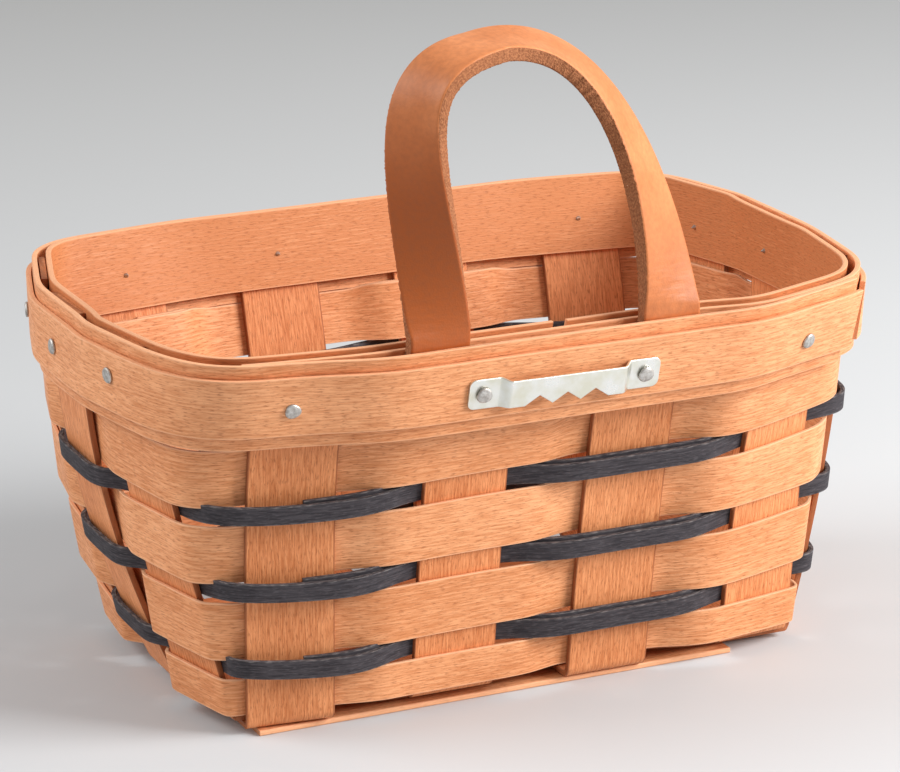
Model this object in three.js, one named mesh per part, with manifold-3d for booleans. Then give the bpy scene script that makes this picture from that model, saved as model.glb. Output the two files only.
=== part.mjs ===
// Key basket: woven wooden splints, a banded rim, a leather strap loop and a sawtooth hanger.
// Millimetres, +Z up. The hanger side faces -Y, and the runners under the floor rest on Z = 0.
import * as THREE from "three";
import { mergeVertices } from "three/addons/utils/BufferGeometryUtils.js";
import Module from "manifold-3d";

// Fits
const FIT = 0.3; // gap between pieces that bear on each other
const ROW_GAP = 0.3; // gap between one woven row and the next
const WEAVE_FIT = 0.4; // gap between a weaver and a splint, and under a nail's head
const TRIM_FIT = 0.65; // gap between the outer band and its trim

// Splints: the strips that run up one wall, under the floor and up the opposite wall
const SPLINT_WIDTH = 25.4;
const SPLINT_THICKNESS = 1.8;
const CROSS_COUNT = 4; // front to back
const LONG_COUNT = 3; // left to right
const CROSS_GAP = 23.8; // space between neighbouring splints at the floor
const LONG_GAP = 9.4;
const CROSS_SPREAD = 2; // how much wider that space is at the rim
const LONG_SPREAD = 5.6;
const LEFT_LEAN = 8.3; // how far the left and right splint tops lean to the back
const RIGHT_LEAN = 5.8;
const BEND_RADIUS = 3; // bend from floor to wall
const SPLINT_TOP_DROP = 0.8; // splint tops end this far below the rim

// Wall plan: the wall's middle surface at the foot and the rim, and the squareness of its rounded outline
const FOOT_MARGIN_LENGTH = 3.6; // wall stands this far outside the outermost floor splint
const FOOT_MARGIN_WIDTH = 6;
const SIDE_FLARE = 25.4; // a wall's rim stands this far outside its foot
const SIDE_BOW = -2; // at half height a long wall bows in, and an end wall out
const LEFT_WALL = [ // splints from the hanger side back, and their turn to the corner in degrees
  { flare: 22.6, bow: 1.6, turn: 13.1, rimTurn: 9.4 },
  { flare: 24.3, bow: 7.3, turn: 0, rimTurn: 0 },
  { flare: 18.6, bow: 5.7, turn: 5.8, rimTurn: 15.8 },
];
const RIGHT_WALL = [
  { flare: 18.3, bow: 5.2, turn: 12, rimTurn: 8.5 },
  { flare: 20.3, bow: 8.7, turn: 0, rimTurn: 0 },
  { flare: 17.8, bow: 4.4, turn: 19, rimTurn: 13 },
];
const OUTLINE_FLARE = 20.4; // growth and bow of the reach that rounds off the long walls
const OUTLINE_BOW = 7.2;
const FOOT_SQUARENESS = 7.6;
const RIM_SQUARENESS = 5.2;
const SQUARENESS_BOW = -2.5;
const SIDE_TURN = 11; // the same turn of a long wall's outermost splints, at the foot and at the rim
const SIDE_TURN_RIM = 8.3;
const TIGHT_TURN_RIM = 20.2; // at the hanger side's right corner
const TURN_HEIGHT = 30; // from here up to the rim bands the turn changes

// Weavers, from the lowest row up
const LOWEST_ROW_HEIGHT = 11.3;
const WIDE_ROW_HEIGHT = 17.5;
const DARK_ROW_HEIGHT = 5.7;
const DARK_ROW_COUNT = 3;
const WIDE_THICKNESS = 1.1;
const DARK_THICKNESS = 1.5;
const LAP_SPLINTS = 4; // a weaver's end laps its start over this many splints
const STAND_UP = 0.46; // share of the wall's flare that a straight strip doesn't follow round the ends
const SEAT_SHARE = 0.1; // share of a gap where a strip still lies flat beyond a splint's edge
const FOOT_FULLNESS = 0.4; // how wide a strip swings between two splints, at the foot and at the rim
const RIM_FULLNESS = 0.85;

// Floor runners
const RUNNER_LENGTH = 150;
const RUNNER_WIDTH = 13;
const RUNNER_THICKNESS = 1.6;
const RUNNER_SHIFT = -8; // along the basket
const RUNNER_INSET = 1.4; // behind the wall's middle surface

// Rim bands
const RIM_SLIT = 2.1; // open slit between the top row and the outer band
const INNER_BAND_HEIGHT = 23;
const INNER_BAND_RISE = 0.8; // inner band stands above the outer one
const OUTER_BAND_HEIGHT = 26.3;
const TRIM_HEIGHT = 18;
const TRIM_DROP = 4; // trim's top edge below the outer band's
const BAND_STAND_UP = 0.57; // share of the flare that the outer band and the trim don't follow round the ends
const BAND_THICKNESS = 1.6;
const TRIM_THICKNESS = 1.6;
const OUTER_BAND_START = 3; // the band's two ends, past the outermost splints of the hanger side
const OUTER_BAND_END = 5;
const TRIM_END = 7;
const TRIM_SEAM = 3; // open notch between the trim's two ends
const STEP_RUN = 22; // length over which the band steps out onto its own start
const STEP_CLEAR = 1.5; // the step ends this far before that start
const INNER_SEAM = 0.8;

// Nails
const NAIL_HEAD_RADIUS = 2.2;
const NAIL_HEAD_HEIGHT = 0.9;
const NAIL_SHANK_RADIUS = 0.8;
const NAIL_TIP_OUT = 1.2; // tip shows this far inside the basket
const NAIL_DOME_SHARE = 0.7; // flat of the head as a share of its radius
const NAIL_SIDES = 8;
const HOLE_OVERRUN = 2.4; // a nail's hole is cut this far past its head and tip
const NAIL_SHIFTS = {
  front_1: { along: -2.8, up: 1 }, // nails driven off the middle of their splint and of the trim
  front_2: { along: -2.4, up: 1.9 },
  front_3: { along: -4.2, up: 1.2 },
  front_4: { along: -1.3, up: 0 },
  right_2: { along: 0, up: 1.1 },
  left_1: { along: 0, up: 2.3 },
};
const NAIL_CENTRED = { along: 0, up: 0 };

// Sawtooth hanger
const HANGER_LENGTH = 58;
const HANGER_EAR_HEIGHT = 9.4;
const HANGER_CORNER = 2.15; // cut corners of an ear's end
const HANGER_METAL = 0.8;
const HANGER_RISE = 2.2; // bar stands out from the ears
const HANGER_BAR_LENGTH = 34;
const HANGER_STEP = 3; // length of the step from ear to bar
const HANGER_BAR_TOP = 4.2; // bar's edges above and below the nail line
const HANGER_BAR_BOTTOM = 4.3;
const TOOTH_COUNT = 3;
const TOOTH_PITCH = 8.5;
const TOOTH_DEPTH = 3;

// Leather strap
const STRAP_WIDTH = 17.5;
const STRAP_THICKNESS = 4.3;
const STRAP_LEG_SPACING = 69.8;
const STRAP_SHIFT = -5; // middle of the two legs along the hanger side
const TAIL_LENGTH = 22; // clamped length below the rim
const TAIL_RISE = 1; // clamped tail shows above the rim
const LOOP_RISE = 76; // from the flex line to the strap's middle at the crown
const LOOP_LEAN_BACK = 7;
const LOOP_LEAN_SIDE = -16.5;
const LEG_RUN = 44; // handle lengths of the loop's curve, at a leg and at the crown
const CROWN_RUN = 38;
const LEG_LEAN = 0.237; // slope of a leg to the back where it leaves the rim
const CROWN_TURN = 0.45; // slope of the crown's line across the basket
const LOOP_TWIST = THREE.MathUtils.degToRad(84.6); // from leg to crown
const TWIST_POWER = 0.574;
const BULGE_RUN = 30; // length over which the bands close again beside a strap leg
const BULGE_MARGIN = 1.5; // the bands stay clear this far past a leg's edge

// How finely the curves are cut
const BEND_STEPS = 3;
const GAP_STEPS = 3;
const CORNER_STEPS = 8;
const LOOP_STEPS = 16;
const SEARCH_STEPS = 30;
const ROUND_END_STEPS = 3;
const SAME_POINT = 1e-4; // points closer than this are one

// Heights that follow from the sizes
const floorMiddle = RUNNER_THICKNESS + FIT + SPLINT_THICKNESS + FIT / 2;
const floorOffset = (SPLINT_THICKNESS + FIT) / 2;
const rows = [];
let rowLow = floorMiddle + floorOffset + SPLINT_THICKNESS / 2 + FIT;
for (let i = 0; i <= DARK_ROW_COUNT; i += 1) {
  const height = i === 0 ? LOWEST_ROW_HEIGHT : WIDE_ROW_HEIGHT;
  rows.push({ dark: false, number: DARK_ROW_COUNT + 1 - i, low: rowLow, high: rowLow + height });
  rowLow += height + ROW_GAP;
  if (i < DARK_ROW_COUNT) {
    rows.push({ dark: true, number: DARK_ROW_COUNT - i, low: rowLow, high: rowLow + DARK_ROW_HEIGHT });
    rowLow += DARK_ROW_HEIGHT + ROW_GAP;
  }
}
const outerBandLow = rowLow - ROW_GAP + RIM_SLIT;
const rimTop = outerBandLow + OUTER_BAND_HEIGHT;
const innerBandTop = rimTop + INNER_BAND_RISE;
const innerBandLow = innerBandTop - INNER_BAND_HEIGHT;
const trimHigh = rimTop - TRIM_DROP;
const trimLow = trimHigh - TRIM_HEIGHT;
const nailHeight = (trimLow + trimHigh) / 2;

// Places of the splints
const crossPitch = SPLINT_WIDTH + CROSS_GAP;
const longPitch = SPLINT_WIDTH + LONG_GAP;
const crossPlace = (i) => i - (CROSS_COUNT - 1) / 2;
const longPlace = (j) => j - (LONG_COUNT - 1) / 2;
const footHalfLength = crossPlace(CROSS_COUNT - 1) * crossPitch + SPLINT_WIDTH / 2 + FOOT_MARGIN_LENGTH;
const footHalfWidth = longPlace(LONG_COUNT - 1) * longPitch + SPLINT_WIDTH / 2 + FOOT_MARGIN_WIDTH;
const rise = (z) => z / rimTop;
const mix = (a, b, t) => a + (b - a) * t;
const crossX = (i, z) => crossPlace(i) * (crossPitch + CROSS_SPREAD * rise(z));
const longY = (j, z, lean) =>
  longPlace(j) * (longPitch + LONG_SPREAD * rise(z)) + lean * (1 - (1 - rise(z)) ** 2);
const ease = (t) => {
  const c = Math.min(1, Math.max(0, t));
  return c * c * (3 - 2 * c);
};

// Wall plan at a height: straight change from foot to rim, plus a bow at half height
const bowed = (foot, rim, bow, z) => mix(foot, rim, rise(z)) + 4 * bow * rise(z) * (1 - rise(z));
const wallPlan = (z) => ({
  a: bowed(footHalfLength, footHalfLength + OUTLINE_FLARE, OUTLINE_BOW, z),
  b: bowed(footHalfWidth, footHalfWidth + SIDE_FLARE, SIDE_BOW, z),
  n: bowed(FOOT_SQUARENESS, RIM_SQUARENESS, SQUARENESS_BOW, z),
});

// A long wall's depth at a distance along it: the outline |x/a|^n + |y/b|^n = 1 solved for y
const depthAt = (along, { a, b, n }) => b * (1 - Math.abs(along / a) ** n) ** (1 / n);
const longWallY = (x, z) => depthAt(x, wallPlan(z));

// An end wall's splint: the entry of its wall that applies to it, and its distance from the middle
const endSplint = (wall, j) => wall[Math.round((j * (wall.length - 1)) / (LONG_COUNT - 1))];
const endWallX = ({ flare, bow }, z) => bowed(footHalfLength, footHalfLength + flare, bow, z);

// Wall splints in order round the basket: their middles at a height, the way the wall runs and how they are
// turned
const wallSplints = [];
const quarter = Math.PI / 2;
const turnOf = (order, count) => Math.sign(order - (count - 1) / 2) * (order % (count - 1) === 0 ? 1 : 0);
const towardsRim = (foot, rim, z) =>
  mix(foot, rim, ease((z - TURN_HEIGHT) / (outerBandLow - TURN_HEIGHT)));
const turnAt = (foot, rim) => (z) => THREE.MathUtils.degToRad(towardsRim(foot, rim, z));
const sideTurn = turnAt(SIDE_TURN, SIDE_TURN_RIM);
const tightTurn = turnAt(SIDE_TURN, TIGHT_TURN_RIM);
function addWallSplint(name, middle, heading, way, turned) {
  wallSplints.push({ name, middle, angle: (z) => heading + way * turned(z) });
}
for (let i = 0; i < CROSS_COUNT; i += 1) {
  const middle = (z) => ({ x: crossX(i, z), y: -longWallY(crossX(i, z), z) });
  const turned = i === CROSS_COUNT - 1 ? tightTurn : sideTurn;
  addWallSplint(`front_${i + 1}`, middle, 0, turnOf(i, CROSS_COUNT), turned);
}
for (let j = 0; j < LONG_COUNT; j += 1) {
  const splint = endSplint(RIGHT_WALL, j);
  const middle = (z) => ({ x: endWallX(splint, z), y: longY(j, z, RIGHT_LEAN) });
  const turned = turnAt(splint.turn, splint.rimTurn);
  addWallSplint(`right_${j + 1}`, middle, quarter, turnOf(j, LONG_COUNT), turned);
}
for (let i = CROSS_COUNT - 1; i >= 0; i -= 1) {
  const middle = (z) => ({ x: crossX(i, z), y: longWallY(crossX(i, z), z) });
  addWallSplint(`back_${i + 1}`, middle, 2 * quarter, -turnOf(i, CROSS_COUNT), sideTurn);
}
for (let j = LONG_COUNT - 1; j >= 0; j -= 1) {
  const splint = endSplint(LEFT_WALL, j);
  const middle = (z) => ({ x: -endWallX(splint, z), y: longY(j, z, LEFT_LEAN) });
  const turned = turnAt(splint.turn, splint.rimTurn);
  addWallSplint(`left_${j + 1}`, middle, -quarter, -turnOf(j, LONG_COUNT), turned);
}
const splintOf = (name) => wallSplints.findIndex((splint) => splint.name === name);

// A splint's middle at a height, the way out of the wall there and the way on round the basket. Ordinals run
// on past one turn.
function splintFrame(ordinal, z) {
  const turns = Math.floor(ordinal / wallSplints.length);
  const splint = wallSplints[ordinal - turns * wallSplints.length];
  const angle = splint.angle(z);
  const [dx, dy] = [Math.cos(angle), Math.sin(angle)];
  return { ...splint.middle(z), nx: dy, ny: -dx, dx, dy };
}

const stepAlong = ({ x, y, dx, dy }, distance) => ({ x: x + distance * dx, y: y + distance * dy });

// The gap between a splint and the next one at a height: its two ends and how wide it is
function gapAfter(ordinal, z) {
  const here = splintFrame(ordinal, z);
  const next = splintFrame(ordinal + 1, z);
  const from = stepAlong(here, SPLINT_WIDTH / 2);
  const to = stepAlong(next, -SPLINT_WIDTH / 2);
  const width = Math.hypot(to.x - from.x, to.y - from.y);
  return { here, next, width };
}

// Path round the basket. Whole numbers are the left seats of the splints. The first half of each unit lies
// flat on the splint and the second half swings across the gap, along a cubic with the splints' own
// directions at its ends.
const FLAT = 0.5;
function wallPath(s, z) {
  const ordinal = Math.floor(s);
  const share = s - ordinal;
  const { here, next, width } = gapAfter(ordinal, z);
  const reach = SPLINT_WIDTH / 2 + SEAT_SHARE * width;
  if (share <= FLAT) {
    const reachBack = SPLINT_WIDTH / 2 + SEAT_SHARE * gapAfter(ordinal - 1, z).width;
    return { ...here, ...stepAlong(here, mix(-reachBack, reach, share / FLAT)) };
  }
  const t = (share - FLAT) / (1 - FLAT);
  const from = stepAlong(here, reach);
  const to = stepAlong(next, -reach);
  const fullness = towardsRim(FOOT_FULLNESS, RIM_FULLNESS, z);
  const pull = fullness * Math.hypot(to.x - from.x, to.y - from.y);
  const curve = (p, q, u, v) =>
    mix(p, q, t * t * (3 - 2 * t)) + pull * t * (1 - t) * ((1 - t) * u - t * v);
  const slope = (p, q, u, v) =>
    6 * t * (1 - t) * (q - p) + pull * ((1 - t) * (1 - 3 * t) * u + t * (3 * t - 2) * v);
  const dx = slope(from.x, to.x, here.dx, next.dx);
  const dy = slope(from.y, to.y, here.dy, next.dy);
  const length = Math.hypot(dx, dy);
  return {
    x: curve(from.x, to.x, here.dx, next.dx),
    y: curve(from.y, to.y, here.dy, next.dy),
    nx: dy / length,
    ny: -dx / length,
  };
}

// Places on the path: a distance into the gap beside a splint, and a point of the hanger side by its x
const gapShare = (ordinal, distance, z) => ((1 - FLAT) * distance) / gapAfter(ordinal, z).width;
const afterSplint = (ordinal, distance, z) => ordinal + FLAT + gapShare(ordinal, distance, z);
const beforeSplint = (ordinal, distance, z) => ordinal - gapShare(ordinal - 1, distance, z);
function frontAt(x, z) {
  let low = 0;
  let high = CROSS_COUNT - 1 + FLAT;
  for (let k = 0; k < SEARCH_STEPS; k += 1) {
    const middle = (low + high) / 2;
    if (wallPath(middle, z).x < x) low = middle;
    else high = middle;
  }
  return (low + high) / 2;
}

// How much the wall leans out per unit of height at a splint
function flare(ordinal, z) {
  const reach = 1;
  const low = splintFrame(ordinal, z - reach);
  const high = splintFrame(ordinal, z + reach);
  const here = splintFrame(ordinal, z);
  return ((high.x - low.x) * here.nx + (high.y - low.y) * here.ny) / (2 * reach);
}

// Materials
const wood = (colour) => new THREE.MeshStandardMaterial({ color: colour, roughness: 0.55, metalness: 0 });
const splintWood = () => wood(0xc9854f);
const weaverWood = () => wood(0xd9a06c);
const bandWood = () => wood(0xd89a64);
const darkWood = () => new THREE.MeshStandardMaterial({ color: 0x3c3b42, roughness: 0.6, metalness: 0 });
const zincSteel = () => new THREE.MeshStandardMaterial({ color: 0xd9dad2, roughness: 0.3, metalness: 1 });
const nailSteel = () => new THREE.MeshStandardMaterial({ color: 0xa9a8a4, roughness: 0.4, metalness: 1 });
const leather = () => new THREE.MeshStandardMaterial({ color: 0xb5652f, roughness: 0.55, metalness: 0 });

const basket = new THREE.Group();
const wasm = await Module();
wasm.setup();

function addPiece(name, geometry, material) {
  geometry.computeVertexNormals();
  const mesh = new THREE.Mesh(geometry, material);
  mesh.name = name;
  basket.add(mesh);
  return mesh;
}

// Joins sections, each a ring of points, into one closed body with flat ends
function loft(sections) {
  const size = sections[0].length;
  const points = sections.flat();
  const faces = [];
  const quad = (p, q, r, s) => faces.push(p, q, r, p, r, s);
  for (let k = 0; k + 1 < sections.length; k += 1) {
    for (let i = 0; i < size; i += 1) {
      const next = (i + 1) % size;
      quad(k * size + i, k * size + next, (k + 1) * size + next, (k + 1) * size + i);
    }
  }
  const last = (sections.length - 1) * size;
  for (let i = 1; i + 1 < size; i += 1) {
    faces.push(0, i + 1, i);
    faces.push(last, last + i, last + i + 1);
  }
  const volume = faces.reduce((sum, _, k) => {
    if (k % 3) return sum;
    const [p, q, r] = [points[faces[k]], points[faces[k + 1]], points[faces[k + 2]]];
    return sum + p.clone().cross(q).dot(r);
  }, 0);
  if (volume < 0) faces.reverse();
  const geometry = new THREE.BufferGeometry().setFromPoints(points);
  geometry.setIndex(faces);
  return geometry;
}

function solidOf(geometry) {
  const bare = new THREE.BufferGeometry().setAttribute("position", geometry.getAttribute("position"));
  bare.setIndex(geometry.getIndex());
  const merged = mergeVertices(bare, SAME_POINT);
  return new wasm.Manifold(
    new wasm.Mesh({
      numProp: 3,
      vertProperties: new Float32Array(merged.getAttribute("position").array),
      triVerts: new Uint32Array(merged.getIndex().array),
    }),
  );
}

function geometryOf(solid) {
  const mesh = solid.getMesh();
  const geometry = new THREE.BufferGeometry();
  geometry.setAttribute("position", new THREE.BufferAttribute(new Float32Array(mesh.vertProperties), 3));
  geometry.setIndex(new THREE.BufferAttribute(new Uint32Array(mesh.triVerts), 1));
  return geometry;
}

const drilled = (geometry, holes) =>
  geometryOf(holes.reduce((solid, hole) => solid.subtract(hole), solidOf(geometry)));

// Offsets of the rim's layers from the wall's middle surface, at the middle of each layer
const innerBandOffset = -(SPLINT_THICKNESS / 2 + FIT + BAND_THICKNESS / 2);
const firstLayerOffset = SPLINT_THICKNESS / 2 + FIT + BAND_THICKNESS / 2;
const layerStep = BAND_THICKNESS + FIT;
const trimStep = (BAND_THICKNESS + TRIM_THICKNESS) / 2 + TRIM_FIT;
const strapOffset = firstLayerOffset + BAND_THICKNESS / 2 + FIT + STRAP_THICKNESS / 2;
const strapLegs = [STRAP_SHIFT - STRAP_LEG_SPACING / 2, STRAP_SHIFT + STRAP_LEG_SPACING / 2];

// The outer layer bulges over both strap legs and closes again beside them
function strapBulge(x) {
  const clear = STRAP_WIDTH / 2 + BULGE_MARGIN;
  const past = Math.max(strapLegs[0] - clear - x, x - strapLegs[1] - clear, 0);
  return (STRAP_THICKNESS + FIT) * (1 - ease(past / BULGE_RUN));
}

// Offset of the outer band where it is the outermost layer. It steps out just before its own start.
const rimMiddle = (outerBandLow + rimTop) / 2;
const turn = wallSplints.length;
const outerStart = beforeSplint(0, OUTER_BAND_START, rimMiddle);
const stepEnd = beforeSplint(0, OUTER_BAND_START + STEP_CLEAR, rimMiddle);
const stepStart = beforeSplint(0, OUTER_BAND_START + STEP_CLEAR + STEP_RUN, rimMiddle);
function outermostOffset(s) {
  const onFront = s > turn / 2 ? s - turn : s;
  const step = ease((onFront - stepStart) / (stepEnd - stepStart));
  return firstLayerOffset + step * (layerStep + strapBulge(wallPath(onFront, rimMiddle).x));
}

// Places on the path where a strip gets a section: each splint's seats and middle, and steps across each gap
function stripPlaces(firstOrdinal, lastOrdinal) {
  const places = [];
  for (let ordinal = firstOrdinal; ordinal <= lastOrdinal; ordinal += 1) {
    const [here, next] = [splintFrame(ordinal, rimTop), splintFrame(ordinal + 1, rimTop)];
    const corner = Math.abs(here.nx) > Math.SQRT1_2 !== Math.abs(next.nx) > Math.SQRT1_2;
    const steps = corner ? CORNER_STEPS : GAP_STEPS;
    places.push(ordinal, ordinal + FLAT / 2);
    for (let k = 0; k < steps; k += 1) places.push(ordinal + mix(FLAT, 1, k / steps));
  }
  return places;
}

// A value given at the splints, eased from one to the next across the gap between them
function acrossGap(s, valueAt) {
  const ordinal = Math.floor(s);
  return mix(valueAt(ordinal), valueAt(ordinal + 1), ease((s - ordinal - FLAT) / (1 - FLAT)));
}

// A strip's section: it takes up the given share of the wall's flare above and below its middle
function stripSection(s, low, high, offset, thickness, follow, middle = (low + high) / 2) {
  const corner = (z, side) => {
    const { x, y, nx, ny } = wallPath(s, mix(middle, z, follow));
    const out = offset + (side * thickness) / 2;
    return new THREE.Vector3(x + out * nx, y + out * ny, z);
  };
  return [corner(low, -1), corner(low, 1), corner(high, 1), corner(high, -1)];
}

// Weavers: each passes inside and outside of the splints in turn, and its end laps outside its own start
function weaverGeometry({ dark, low, high }, startName) {
  const thickness = dark ? DARK_THICKNESS : WIDE_THICKNESS;
  const middle = (low + high) / 2;
  const start = splintOf(startName);
  const end = start + wallSplints.length + LAP_SPLINTS - 1;
  const shift = (thickness + FIT) / 2;
  const followAt = (ordinal) => 1 - STAND_UP * splintFrame(ordinal, middle).nx ** 2;
  const offsetAt = (ordinal) => {
    const outside = ordinal % 2 === (dark ? 0 : 1) ? 1 : -1;
    const stood = ((1 - followAt(ordinal)) * Math.abs(flare(ordinal, middle)) * (high - low)) / 2;
    const single = SPLINT_THICKNESS / 2 + WEAVE_FIT + thickness / 2 + stood;
    if (ordinal < start + LAP_SPLINTS) return outside * (single + shift) - shift;
    if (ordinal >= start + wallSplints.length) return outside * (single + shift) + shift;
    return outside * single;
  };
  const places = stripPlaces(start, end).filter((s) => s >= start + FLAT / 2 && s <= end + FLAT / 2);
  return loft(places.map((s) =>
    stripSection(s, low, high, acrossGap(s, offsetAt), thickness, acrossGap(s, followAt))));
}

for (const row of rows) {
  const name = row.dark ? `weaver_dark_${row.number}` : `weaver_wide_${row.number}`;
  const geometry = weaverGeometry(row, row.dark ? "front_1" : `back_${CROSS_COUNT}`);
  addPiece(name, geometry, row.dark ? darkWood() : weaverWood());
}

// Round the ends the outer band and the trim stand straighter than the wall and touch it only at the top
const bandFollow = (ordinal) => 1 - BAND_STAND_UP * splintFrame(ordinal, rimMiddle).nx ** 2;
const bandStood = (ordinal) =>
  ((1 - bandFollow(ordinal)) * Math.abs(flare(ordinal, rimMiddle)) * OUTER_BAND_HEIGHT) / 2;

// Nail frames: the point on the wall's middle surface, the way out square to the outer band, and how much
// further out than on a plain wall the band is there
function nailFrame(ordinal) {
  const { along, up } = NAIL_SHIFTS[wallSplints[ordinal].name] ?? NAIL_CENTRED;
  const z = nailHeight + up;
  const frame = splintFrame(ordinal, z);
  const { x, y } = stepAlong(frame, along);
  const lean = flare(ordinal, rimMiddle);
  const follow = bandFollow(ordinal);
  const out = new THREE.Vector3(frame.nx, frame.ny, -lean * follow).normalize();
  const stood = bandStood(ordinal) - lean * (1 - follow) * (z - rimMiddle);
  return { point: new THREE.Vector3(x, y, z), out, stood, share: (FLAT * along) / SPLINT_WIDTH };
}

// Offsets are level, so a sloped wall's layers are thinner measured square to it
const squareTo = (out) => Math.hypot(out.x, out.y);

const middleCross = Math.floor(CROSS_COUNT / 2); // the splint just left of the middle
const hangerSplints = [splintOf(`front_${middleCross}`), splintOf(`front_${middleCross + 1}`)];
const nails = wallSplints.map((splint, ordinal) => {
  const { point, out, stood, share } = nailFrame(ordinal);
  const headShare = (FLAT * NAIL_HEAD_RADIUS) / SPLINT_WIDTH;
  const under = [-headShare, 0, headShare].map((part) => outermostOffset(ordinal + FLAT / 2 + share + part));
  const trimFace = (Math.max(...under) + stood + trimStep + TRIM_THICKNESS / 2) * squareTo(out);
  const held = hangerSplints.includes(ordinal) ? HANGER_METAL + FIT : 0;
  const headSeat = trimFace + held + WEAVE_FIT;
  const tip = (innerBandOffset - BAND_THICKNESS / 2) * squareTo(out) - NAIL_TIP_OUT;
  return { name: splint.name, point, out, headSeat, tip, trimFace };
});

const turnTo = (out) => new THREE.Quaternion().setFromUnitVectors(new THREE.Vector3(0, 1, 0), out);

function nailHole(nail) {
  const radius = NAIL_SHANK_RADIUS + FIT;
  const length = nail.headSeat - nail.tip + 2 * HOLE_OVERRUN;
  const geometry = new THREE.CylinderGeometry(radius, radius, length, NAIL_SIDES);
  geometry.translate(0, (nail.headSeat + nail.tip) / 2, 0);
  geometry.applyQuaternion(turnTo(nail.out));
  geometry.translate(nail.point.x, nail.point.y, nail.point.z);
  return solidOf(geometry);
}
const holeAt = Object.fromEntries(nails.map((nail) => [nail.name, nailHole(nail)]));
const allHoles = Object.values(holeAt);

for (const nail of nails) {
  const profile = [
    new THREE.Vector2(0, nail.tip),
    new THREE.Vector2(NAIL_SHANK_RADIUS, nail.tip + NAIL_TIP_OUT),
    new THREE.Vector2(NAIL_SHANK_RADIUS, nail.headSeat),
    new THREE.Vector2(NAIL_HEAD_RADIUS, nail.headSeat),
    new THREE.Vector2(NAIL_HEAD_RADIUS, nail.headSeat + NAIL_HEAD_HEIGHT / 2),
    new THREE.Vector2(NAIL_HEAD_RADIUS * NAIL_DOME_SHARE, nail.headSeat + NAIL_HEAD_HEIGHT),
    new THREE.Vector2(0, nail.headSeat + NAIL_HEAD_HEIGHT),
  ];
  const mesh = addPiece(`nail_${nail.name}`, new THREE.LatheGeometry(profile, NAIL_SIDES), nailSteel());
  mesh.position.copy(nail.point);
  mesh.quaternion.copy(turnTo(nail.out));
}

// Splints: down one wall, round the bend, under and over across the floor, round the bend and up. On the
// walls a splint is straight behind each row and behind each half of the rim bands.
const wallHeights = rows.map(({ high }) => high + ROW_GAP / 2);
wallHeights.push(rimMiddle, rimTop - SPLINT_TOP_DROP);

function splintSections(wallAcross, foldAcross, floorAcross, reachAt, crossings) {
  const edge = (1 + SEAT_SHARE) * (SPLINT_WIDTH / 2);
  const alongFloor = crossings.slice(1).flatMap(({ at, level }, k) => {
    const before = crossings[k];
    const middle = { at: (before.at + at) / 2, level: (before.level + level) / 2 };
    return [{ at: before.at + edge, level: before.level }, middle, { at: at - edge, level }];
  });
  const rising = (end, level) => {
    const reach = reachAt(end, level);
    const from = wallAcross(end, level + BEND_RADIUS);
    const fold = foldAcross(end, level);
    const to = floorAcross(end * (reach - BEND_RADIUS), level);
    const bend = Array.from({ length: BEND_STEPS }, (_, k) => {
      const t = (k + 1) / BEND_STEPS;
      return from.map((p, i) => p.clone()
        .multiplyScalar((1 - t) ** 2)
        .addScaledVector(fold[i], 2 * t * (1 - t))
        .addScaledVector(to[i], t * t));
    });
    return [...bend.reverse(), from, ...wallHeights.map((z) => wallAcross(end, z))];
  };
  return [
    ...rising(-1, crossings[0].level).reverse(),
    ...alongFloor.map(({ at, level }) => floorAcross(at, level)),
    ...rising(1, crossings[crossings.length - 1].level),
  ];
}

// A splint's section on the wall: its outer face from edge to edge, then its inner face back
const ACROSS = [-SPLINT_WIDTH / 2, 0, SPLINT_WIDTH / 2];
const ringOf = (corner) => [
  ...ACROSS.map((s) => corner(s, 1)),
  ...ACROSS.map((s) => corner(-s, -1)),
];
function wallRing(ordinal, z, side, drop = 0) {
  const frame = splintFrame(ordinal, z);
  return ringOf((s, face) => {
    const { x, y } = stepAlong(frame, -side * s);
    const out = (face * SPLINT_THICKNESS) / 2;
    return new THREE.Vector3(x + out * frame.nx, y + out * frame.ny, z - drop * out);
  });
}

const overUnder = (i, j) => ((i + j) % 2 === 1 ? 1 : -1);

for (let i = 0; i < CROSS_COUNT; i += 1) {
  const crossings = Array.from({ length: LONG_COUNT }, (_, j) => ({
    at: longPlace(j) * longPitch,
    level: floorMiddle + overUnder(i, j) * floorOffset,
  }));
  const ends = { [-1]: splintOf(`front_${i + 1}`), 1: splintOf(`back_${i + 1}`) };
  const wallAcross = (end, z) => wallRing(ends[end], z, end);
  const foldAcross = (end, z) => wallRing(ends[end], z, end, 1);
  const reachAt = (end, z) => Math.abs(splintFrame(ends[end], z).y);
  const floorAcross = (y, z) =>
    ringOf((s, face) => new THREE.Vector3(crossX(i, 0) + s, y, z - (face * SPLINT_THICKNESS) / 2));
  const sections = splintSections(wallAcross, foldAcross, floorAcross, reachAt, crossings);
  const holes = [holeAt[`front_${i + 1}`], holeAt[`back_${i + 1}`]];
  addPiece(`splint_cross_${i + 1}`, drilled(loft(sections), holes), splintWood());
}

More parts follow.
